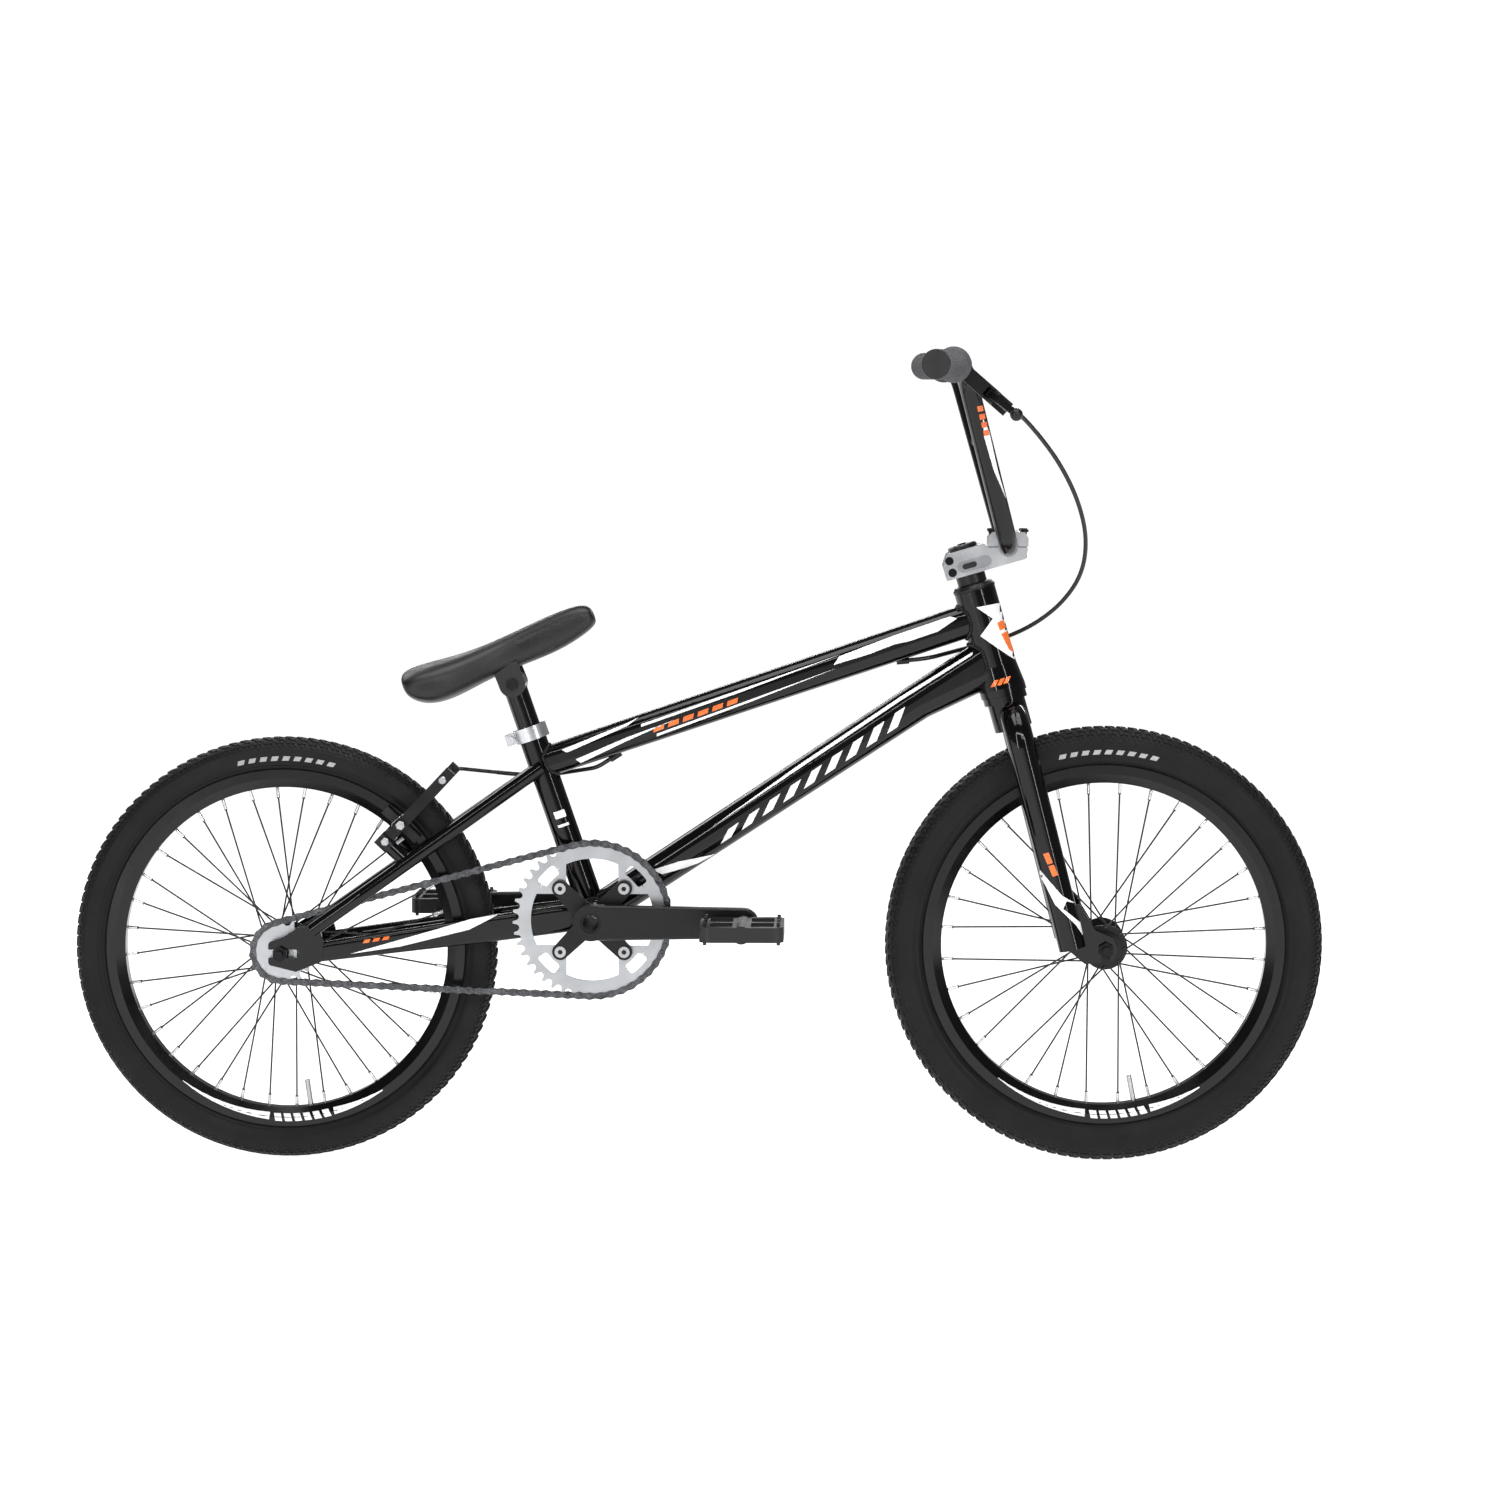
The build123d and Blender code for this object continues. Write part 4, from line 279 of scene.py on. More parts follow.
# ---------------------------------------------------------------- mesh making
@dataclass
class Shape:
    """A mesh in the making, in millimetres."""

    points: list[Vector] = field(default_factory=list)
    faces: list[tuple[int, ...]] = field(default_factory=list)

    def rings(self, rings: Sequence[Sequence[Vector]], loop: bool = False) -> "Shape":
        """Joins rings of equal length with quads.

        Args:
            rings: The rings, in order.
            loop: Whether the last ring joins the first; if not, a face closes each end.
        Returns:
            This shape.
        """
        start = len(self.points)
        size = len(rings[0])
        for ring in rings:
            self.points.extend(Vector(point) for point in ring)
        count = len(rings)
        for row in range(count if loop else count - 1):
            low = start + row * size
            high = start + (row + 1) % count * size
            for place in range(size):
                after = (place + 1) % size
                self.faces.append((low + place, low + after, high + after, high + place))
        if not loop:
            self.faces.append(tuple(start + place for place in reversed(range(size))))
            self.faces.append(tuple(start + (count - 1) * size + place for place in range(size)))
        return self

    def turned(self, place: Matrix, profile: Sequence[Point], steps: int = 24,
               loop: bool = False) -> "Shape":
        """Turns a profile about the local Z axis of a place.

        Args:
            place: Where the axis is.
            profile: Its (radius, height) points.
            steps: How many facets go round.
            loop: Whether the profile closes on itself.
        Returns:
            This shape.
        """
        rings = []
        for radius, height in profile:
            ring = []
            for step in range(steps):
                angle = 2 * pi * step / steps
                ring.append(place @ Vector((radius * cos(angle), radius * sin(angle), height)))
            rings.append(ring)
        return self.rings(rings, loop=loop)

    def prism(self, place: Matrix, outline: Sequence[Point], low: float, high: float,
              bevel: float = 0.0) -> "Shape":
        """Extrudes an outline along the local Z axis of a place.

        Args:
            place: Where the outline lies.
            outline: Its corners.
            low: Height of its lower end.
            high: Height of its upper end.
            bevel: Size of the bevel at both ends.
        Returns:
            This shape.
        """
        heights = [(low, bevel), (low + bevel, 0.0), (high - bevel, 0.0), (high, bevel)] if bevel else [
            (low, 0.0), (high, 0.0)]
        centre = Vector((sum(p[0] for p in outline), sum(p[1] for p in outline))) / len(outline)
        rings = []
        for height, inset in heights:
            ring = []
            for x, y in outline:
                away = Vector((x, y)) - centre
                shrunk = centre + away * (1 - inset / max(away.length, inset + 0.01))
                ring.append(place @ Vector((shrunk.x, shrunk.y, height)))
            rings.append(ring)
        return self.rings(rings)

    def tube(self, path: Sequence[Vector], radius: float, sides: int = 10) -> "Shape":
        """Adds a round tube along points.

        Args:
            path: The points of its centre line.
            radius: Its radius.
            sides: How many facets go round.
        Returns:
            This shape.
        """
        rings = []
        normal = None
        for place, point in enumerate(path):
            before = path[max(place - 1, 0)]
            after = path[min(place + 1, len(path) - 1)]
            along = (after - before).normalized()
            if normal is None:
                normal = along.orthogonal().normalized()
            normal = (normal - along * normal.dot(along)).normalized()
            side = along.cross(normal)
            rings.append([point + (normal * cos(2 * pi * step / sides)
                                   + side * sin(2 * pi * step / sides)) * radius for step in range(sides)])
        return self.rings(rings)

    def mesh(self, name: str) -> bpy.types.Mesh:
        """Makes the mesh in metres, with its doubles merged and its faces pointing outwards.

        Args:
            name: The mesh's name.
        Returns:
            The mesh.
        """
        made = bmesh.new()
        verts = [made.verts.new(point * MM) for point in self.points]
        for face in self.faces:
            corners = [verts[place] for place in face]
            if len(set(corners)) > 2:
                made.faces.new(corners)
        bmesh.ops.remove_doubles(made, verts=made.verts, dist=0.00001)
        bmesh.ops.recalc_face_normals(made, faces=made.faces)
        mesh = bpy.data.meshes.new(name)
        made.to_mesh(mesh)
        made.free()
        return mesh


def frame_at(origin: Vector, axis: Vector, across: Vector | None = None) -> Matrix:
    """Makes a place whose local Z runs along an axis.

    Args:
        origin: Where the place is.
        axis: Its local Z.
        across: Roughly its local X.
    Returns:
        The matrix of the place.
    """
    up = axis.normalized()
    side = across if across is not None else up.orthogonal()
    side = (side - up * side.dot(up)).normalized()
    turned = Matrix((side, up.cross(side), up)).transposed().to_4x4()
    return Matrix.Translation(origin) @ turned


def polygon(radius: float, count: int) -> list[tuple[float, float]]:
    """Corners of a regular polygon."""
    turns = [2 * pi * step / count for step in range(count)]
    return [(radius * cos(turn), radius * sin(turn)) for turn in turns]


def add_object(name: str, data: bpy.types.ID) -> bpy.types.Object:
    """Adds an object with its data to the scene.

    Args:
        name: The object's name.
        data: Its mesh, curve, light or camera.
    Returns:
        The object, at the origin.
    """
    made = bpy.data.objects.new(name, data)
    bpy.context.scene.collection.objects.link(made)
    return made


def plain_mesh(holder: bpy.types.Object) -> bpy.types.Mesh:
    """Turns an object with live modifiers, or a curve, into a mesh and removes the object.

    Args:
        holder: The working object.
    Returns:
        Its finished mesh.
    """
    graph = bpy.context.evaluated_depsgraph_get()
    mesh = bpy.data.meshes.new_from_object(holder.evaluated_get(graph), depsgraph=graph)
    bpy.data.objects.remove(holder)
    return mesh


def piece(name: str, mesh: bpy.types.Mesh, finish: Finish, body: str | None,
          smooth: float = 35.0) -> bpy.types.Object:
    """Makes a finished piece of the bicycle.

    Args:
        name: The piece's name.
        mesh: Its mesh, in metres.
        finish: Its finish.
        body: The body that it rides on, or None to leave it unattached.
        smooth: Edges sharper than this stay crisp, in degrees.
    Returns:
        The piece's object.
    """
    mesh.materials.clear()
    mesh.materials.append(finish.material())
    mesh.polygons.foreach_set("use_smooth", [True] * len(mesh.polygons))
    mesh.set_sharp_from_angle(angle=radians(smooth))
    made = add_object(name, mesh)
    if body:
        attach(made, body)
    log.info("%s: %d faces on %s", name, len(mesh.polygons), body)
    return made


# ---------------------------------------------------------------- repeated things
class Pattern(Enum):
    """How copies of an item are laid out."""

    ROUND_AXLE = "evenly round a wheel's axle"
    AT_POINTS = "at points that carry their own turn"


def repeat_tree(pattern: Pattern) -> bpy.types.NodeTree:
    """Builds the Geometry Nodes tree of one pattern.

    Args:
        pattern: The layout.
    Returns:
        A tree with the inputs Item, Count, Centre and Finish.
    """
    found = bpy.data.node_groups.get(pattern.name)
    if found:
        return found
    tree = bpy.data.node_groups.new(pattern.name, "GeometryNodeTree")
    for name, kind in (("Geometry", "Geometry"), ("Item", "Object"), ("Count", "Int"), ("Centre", "Vector"),
                       ("Finish", "Material")):
        tree.interface.new_socket(name, in_out="INPUT", socket_type="NodeSocket" + kind)
    tree.interface.new_socket("Geometry", in_out="OUTPUT", socket_type="NodeSocketGeometry")
    given = add_node(tree, "NodeGroupInput").outputs
    item = add_node(tree, "GeometryNodeObjectInfo", {"Object": given["Item"]}, transform_space="ORIGINAL")
    if pattern is Pattern.ROUND_AXLE:
        points = add_node(tree, "GeometryNodePoints", {
            "Count": given["Count"], "Position": given["Centre"]}).outputs[0]
        step = add_node(tree, "ShaderNodeMath", {0: 2 * pi, 1: given["Count"]}, operation="DIVIDE").outputs[0]
        index = add_node(tree, "GeometryNodeInputIndex").outputs[0]
        angle = add_node(tree, "ShaderNodeMath", {0: index, 1: step}, operation="MULTIPLY").outputs[0]
        euler = add_node(tree, "ShaderNodeCombineXYZ", {"Y": angle}).outputs[0]
    else:
        points = add_node(tree, "GeometryNodeMeshToPoints", {"Mesh": given["Geometry"]}).outputs[0]
        euler = add_node(tree, "GeometryNodeInputNamedAttribute", {"Name": "turn"},
                         data_type="FLOAT_VECTOR").outputs[0]
    turn = add_node(tree, "FunctionNodeEulerToRotation", {0: euler}).outputs[0]
    copies = add_node(tree, "GeometryNodeInstanceOnPoints", {
        "Points": points, "Instance": item.outputs["Geometry"], "Rotation": turn}).outputs[0]
    whole = add_node(tree, "GeometryNodeRealizeInstances", {0: copies}).outputs[0]
    dressed = add_node(tree, "GeometryNodeSetMaterial", {
        "Geometry": whole, "Material": given["Finish"]}).outputs[0]
    add_node(tree, "NodeGroupOutput", {0: dressed})
    return tree


def repeated(name: str, item: Shape, finish: Finish, count: int = 0, centre: Vector = Vector(),
             places: Sequence[tuple[Vector, Euler]] = ()) -> bpy.types.Mesh:
    """Copies an item round an axle, or at places, into one plain mesh.

    Args:
        name: The new mesh's name.
        item: The item, about the origin.
        finish: Its finish.
        count: How many copies go round the axle.
        centre: The axle, in millimetres.
        places: Points in millimetres with their turns, used instead of the axle.
    Returns:
        The mesh of all the copies.
    """
    pattern = Pattern.AT_POINTS if places else Pattern.ROUND_AXLE
    tree = repeat_tree(pattern)
    source = add_object(name + "_item", item.mesh(name + "_item"))
    base = bpy.data.meshes.new(name + "_base")
    base.from_pydata([point * MM for point, _ in places], [], [])
    if places:
        turn = base.attributes.new("turn", "FLOAT_VECTOR", "POINT")
        turn.data.foreach_set("vector", [value for _, euler in places for value in euler])
    holder = add_object(name + "_holder", base)
    modifier = holder.modifiers.new("repeat", "NODES")
    modifier.node_group = tree
    values = {"Item": source, "Count": count, "Centre": centre * MM, "Finish": finish.material()}
    for socket in tree.interface.items_tree:
        if socket.in_out == "INPUT" and socket.name in values:
            modifier[socket.identifier] = values[socket.name]
    mesh = plain_mesh(holder)
    mesh.name = name
    bpy.data.objects.remove(source)
    return mesh


def merged(name: str, meshes: Iterable[bpy.types.Mesh]) -> bpy.types.Mesh:
    """Joins meshes into one.

    Args:
        name: The new mesh's name.
        meshes: The meshes, in metres.
    Returns:
        The joined mesh.
    """
    made = bmesh.new()
    for mesh in meshes:
        made.from_mesh(mesh)
    joined = bpy.data.meshes.new(name)
    made.to_mesh(joined)
    made.free()
    return joined


def surface_of(*names: str) -> BVHTree:
    """Makes a search tree of some surfaces.

    Args:
        *names: CAD nodes or finished pieces.
    Returns:
        The tree, in millimetres.
    """
    points: list[Vector] = []
    faces: list[tuple[int, ...]] = []
    for name in names:
        source = (nodes[name] if name in nodes else bpy.data.objects[name]).data
        start = len(points)
        points += [vertex.co / MM for vertex in source.vertices]
        faces += [tuple(start + place for place in face.vertices) for face in source.polygons]
    return BVHTree.FromPolygons(points, faces)


# ---------------------------------------------------------------- printed decals, painted highlights and painted shade
@dataclass
class Decal:
    """A thin shape laid on both flanks of some CAD nodes: prints, a painted highlight line and painted shade
    sheets are all made this way.
    """

    name: str
    target: tuple[str, ...]
    body: str
    finish: Finish
    slot: str
    outlines: tuple[tuple[Point, ...], ...]
    lift: float = 0.4
    cell: float = 3.0
    reach: float = 400.0

    def grid(self, outline: Sequence[Point]) -> tuple[list[Vector], list[list[int]]]:
        """Cuts an (x, z) outline into cells that can follow a curved surface.

        Args:
            outline: The shape's corners, in millimetres.
        Returns:
            Its points and faces in the XZ plane.
        """
        flat = bmesh.new()
        flat.faces.new([flat.verts.new((x, 0, z)) for x, z in outline])
        for axis in (0, 2):
            low = min(vertex.co[axis] for vertex in flat.verts)
            high = max(vertex.co[axis] for vertex in flat.verts)
            normal = Vector((1, 0, 0)) if axis == 0 else Vector((0, 0, 1))
            for step in range(1, int((high - low) / self.cell) + 1):
                bmesh.ops.bisect_plane(
                    flat, geom=flat.verts[:] + flat.edges[:] + flat.faces[:],
                    plane_co=normal * (low + step * self.cell), plane_no=normal)
        flat.verts.ensure_lookup_table()
        points = [vertex.co.copy() for vertex in flat.verts]
        faces = [[vertex.index for vertex in face.verts] for face in flat.faces]
        flat.free()
        return points, faces

    def build(self) -> bpy.types.Object:
        """Lays the shapes on the surface as one thin closed piece.

        Returns:
            The piece.
        """
        tree = surface_of(*self.target)
        shape = Shape()
        for outline in self.outlines:
            points, faces = self.grid(outline)
            for side in SIDES.values():
                self.lay(shape, tree, points, faces, side)
        return piece(self.name, shape.mesh(self.name), self.finish, self.body, 50)

    def lay(self, shape: Shape, tree: BVHTree, points: list[Vector], faces: list[list[int]],
            side: int) -> None:
        """Drops a grid on one flank and closes it with a thin edge.

        Args:
            shape: Gets the printed skin.
            tree: The surface it lies on.
            points: The grid's points in the XZ plane.
            faces: The grid's faces.
            side: -1 for the right flank, 1 for the left.
        """
        hits = []
        for point in points:
            origin = Vector((point.x, side * self.reach, point.z))
            hit, normal = tree.ray_cast(origin, Vector((0, -side, 0)))[:2]
            if hit is not None and normal.dot(Vector((0, side, 0))) < 0:
                normal = -normal
            hits.append((hit, normal))
        start = len(shape.points)
        for hit, normal in hits:
            shape.points.append(hit + normal * self.lift if hit is not None else Vector())
            shape.points.append(hit - normal * self.lift if hit is not None else Vector())
        edges: dict[tuple[int, int], int] = {}
        kept = []
        for face in faces:
            depths = [hits[place][0].y for place in face if hits[place][0] is not None]
            if len(depths) < len(face) or max(depths) - min(depths) > 4 * self.cell:
                continue
            kept.append(face)
            for first, second in zip(face, face[1:] + face[:1]):
                edges[first, second] = edges.get((first, second), 0) + 1
        for face in kept:
            shape.faces.append(tuple(start + 2 * place for place in face))
            shape.faces.append(tuple(start + 2 * place + 1 for place in reversed(face)))
        for first, second in edges:
            if (second, first) not in edges:
                shape.faces.append((start + 2 * first, start + 2 * first + 1, start + 2 * second + 1,
                                    start + 2 * second))


# ---------------------------------------------------------------- wheels
@dataclass
class Tyre:
    """One tyre: a lathed casing with moulded rings and rows of tread blocks."""

    name: str
    centre: Vector
    radius: float
    width: float
    pitches: int = 120
    block_height: float = 1.7
    wall: float = 2.6
    wall_rings: tuple[tuple[float, float, float], ...] = (
        (0.12, 0.7, 0.025), (0.3, 0.35, 0.02), (0.66, 0.5, 0.025), (0.72, 0.4, 0.02))

    def half_outline(self) -> list[tuple[float, float]]:
        """Gives the section from the bead to the crown, before smoothing.

        Returns:
            Its (radius, half width) points.
        """
        height = self.radius - RIM_RADIUS
        half = self.width / 2
        return [(203.8, 13.3), (209.4, 13.3), (211.6, 15.4), (RIM_RADIUS + height * 0.17, half - 5.6),
                (RIM_RADIUS + height * 0.32, half - 1.9), (RIM_RADIUS + height * 0.48, half - 0.4),
                (RIM_RADIUS + height * 0.64, half - 1.2), (RIM_RADIUS + height * 0.77, half - 4.0),
                (RIM_RADIUS + height * 0.87, half - 8.6), (self.radius - 3.0, half - 14.5),
                (self.radius - self.block_height, 0.0)]

    def smooth_half(self, parts: int = 5) -> list[tuple[float, float]]:
        """Smooths the outline by a spline through its points and adds the moulded rings.

        Args:
            parts: How many runs go between two points.
        Returns:
            The section's (radius, half width) points.
        """
        raw = self.half_outline()
        padded = [raw[0]] + raw + [(raw[-2][0], -raw[-2][1])]
        line = []
        for place in range(1, len(padded) - 2):
            a, b, c, d = (Vector(padded[place + shift]) for shift in (-1, 0, 1, 2))
            for step in range(parts):
                t = step / parts
                point = b * 2 + (c - a) * t + (a * 2 - b * 5 + c * 4 - d) * t**2
                point = (point + (b * 3 - a - c * 3 + d) * t**3) / 2
                line.append((point.x, max(point.y, 0.0)))
        line.append(raw[-1])
        return [(radius, self.ring_lift(radius, half)) for radius, half in line]

    def ring_lift(self, radius: float, half: float) -> float:
        """Adds the fine moulded rings of the side wall.

        Args:
            radius: Where on the wall.
            half: The plain half width there.
        Returns:
            The half width with its ring.
        """
        share = (radius - RIM_RADIUS) / (self.radius - RIM_RADIUS)
        if half < self.width / 4:
            return half
        lift = 0.0
        for ring, height, spread in self.wall_rings:
            if abs(share - ring) < spread:
                lift = height
        return min(half + lift, self.width / 2 - 0.05)

    def surface(self, half: float) -> tuple[float, float]:
        """Radius and outward lean of the casing at a half width on the tread.

        Args:
            half: Distance from the tyre's middle plane.
        Returns:
            The radius there and the angle of its outward normal from the wheel's plane.
        """
        line = [(h, r) for r, h in self.smooth_half() if r > RIM_RADIUS + 0.5 * (self.radius - RIM_RADIUS)]
        line.sort()
        for (h0, r0), (h1, r1) in zip(line, line[1:]):
            if h0 <= half <= h1 and h1 > h0:
                share = (half - h0) / (h1 - h0)
                return r0 + (r1 - r0) * share, atan2(r0 - r1, h1 - h0)
        return line[-1][1], atan2(1, 1)

    def block(self, shape: Shape, corners: Sequence[Point], height: float) -> None:
        """Adds one tread block, narrower at its top.

        Args:
            shape: Gets the block.
            corners: Its four (arc length, across) corners.
            height: How far it stands off the casing.
        """
        middle = (sum(c[0] for c in corners) / 4, sum(c[1] for c in corners) / 4)
        rings = []
        for lift, share in ((-0.8, 1.06), (height * 0.8, 0.94), (height, 0.84)):
            ring = []
            for along, across in corners:
                along = middle[0] + (along - middle[0]) * share
                across = middle[1] + (across - middle[1]) * share
                radius, lean = self.surface(abs(across))
                side = 1 if across >= 0 else -1
                out = radius + lift * cos(lean)
                angle = along / self.radius
                ring.append(Vector((out * sin(angle), across + side * lift * sin(lean), out * cos(angle))))
            rings.append(ring)
        shape.rings(rings)

    def tread(self) -> bpy.types.Mesh:
        """Repeats one pitch round the tyre: a chevron, oblique bars and shoulder lugs.

        Returns:
            The tread's mesh.
        """
        pitch = 2 * pi * self.radius / self.pitches
        half = self.width / 2
        item = Shape()
        for side in SIDES.values():
            bars = [(1.0, (0.00, 0.9), (0.42, 0.9), (0.72, 6.6), (0.30, 6.6)),
                    (1.0, (0.40, 7.4), (0.86, 7.4), (1.06, half - 10.2), (0.60, half - 10.2)),
                    (0.9, (0.12, half - 9.4), (0.50, half - 9.4), (0.66, half - 5.0), (0.28, half - 5.0)),
                    (0.8, (0.62, half - 8.8), (0.90, half - 8.8), (1.02, half - 5.2), (0.74, half - 5.2)),
                    (0.5, (0.34, half - 4.6), (0.60, half - 4.6), (0.86, half - 1.7), (0.60, half - 1.7)),
                    (0.4, (0.84, half - 4.4), (1.02, half - 4.4), (1.24, half - 2.2), (1.06, half - 2.2))]
            for height, *bar in bars:
                self.block(item, [(share * pitch, side * across) for share, across in bar],
                           height * self.block_height)
        return repeated(self.name + "_tread", item, RUBBER, self.pitches, self.centre)

    def build(self) -> None:
        """Makes the tyre as one piece that stands for its CAD node."""
        half = self.smooth_half()
        outer = [(r, h) for r, h in half] + [(r, -h) for r, h in reversed(half[:-1])]
        inner = [(r - self.wall if h < self.width / 3 and r > RIM_RADIUS + 4 else r, max(h - self.wall, 0.0))
                 for r, h in half]
        inner = inner[:-1] + [(inner[-1][0], 0.0)]
        back = [(r, -h) for r, h in inner[:-1]] + [(r, h) for r, h in reversed(inner)]
        place = frame_at(self.centre, Vector((0, 1, 0)), Vector((0, 0, 1)))
        casing = Shape().turned(place, outer + back, 240, loop=True).mesh(self.name + "_casing")
        whole = merged(self.name + "_moulded", [casing, self.tread()])
        made = piece(self.name + "_moulded", whole, RUBBER, self.name, 40)
        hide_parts(self.name.replace("wheel", "tyre"))
        self.wall_marks()

    def wall_marks(self) -> None:
        """Lays a row of plain grey dashes high on both side walls."""
        middle = RIM_RADIUS + 0.36 * (self.radius - RIM_RADIUS)
        marks = []
        for place in range(9):
            outline = []
            for angle, out in ((0.0, -2.6), (2.0, -2.6), (2.6, 2.6), (0.6, 2.6)):
                turn = radians(-14.0 + 3.4 * place + angle)
                outline.append((self.centre.x + (middle + out) * sin(turn),
                                self.centre.z + (middle + out) * cos(turn)))
            marks.append(tuple(outline))
        Decal(self.name + "_wall_marks", (self.name + "_moulded",), self.name, WALL_INK, "tyre",
              tuple(marks)).build()


@dataclass
class Wheels:
    """Both wheels: their tyres, rims, spokes, hubs, valve caps and rim prints."""

    def build(self) -> None:
        """Builds and dresses both wheels."""
        Tyre("front_wheel", FRONT_AXLE, 253.5, 50.0).build()
        Tyre("rear_wheel", REAR_AXLE, 246.5, 44.0, pitches=116).build()
        dress(FRONT_SPOKE, "front_spokes")
        dress(REAR_SPOKE, "rear_spokes")
        for end, centre in (("front", FRONT_AXLE), ("rear", REAR_AXLE)):
            dress(POWDER, end + "_rim")
            dress(ANODISED, end + "_hub")
            dress(ZINC, end + "_valve")
            dress(OXIDE, end + "_axle", end + "_axle_nuts")
            self.rim_prints(end, centre)

    def rim_prints(self, end: str, centre: Vector) -> None:
        """Lays the white swoosh and slanted blocks on both sides of a rim's foot.

        Args:
            end: Which wheel.
            centre: Its axle.
        """
        def arc(spans: Sequence[tuple[float, float, float]]) -> tuple[Point, ...]:
            """Outline from (angle from straight down, inner radius, outer radius) stations."""
            stations = [(a, low) for a, low, _ in spans] + [(a, high) for a, _, high in reversed(spans)]
            return tuple((centre.x + r * sin(radians(a)), centre.z - r * cos(radians(a)))
                         for a, r in stations)

        shapes = [arc([(-38 + 4 * step, 197.5 - 0.45 * step, 198 + 0.5 * step) for step in range(9)])]
        for block in range(6):
            start = -4.6 + block * 3.3
            shapes.append(arc([(start, 194.5, 194.6), (start + 0.7, 194.5, 203.0),
                               (start + 2.3, 194.5, 203.0), (start + 3.0, 202.9, 203.0)]))
        shapes.append(arc([(16 + 3 * step, 194.5 + 0.8 * step, 202.5 - 0.3 * step) for step in range(7)]))
        Decal(end + "_rim_print", (end + "_rim",), end + "_wheel", WHITE_INK_AND_HIGHLIGHT, "rim", tuple(shapes)).build()


def dress(finish: Finish, *names: str) -> None:
    """Gives CAD nodes a finish in their material slots.

    Args:
        finish: The finish.
        *names: The nodes.
    """
    for name in names:
        mesh = nodes[name].data
        mesh.materials.clear()
        mesh.materials.append(finish.material())


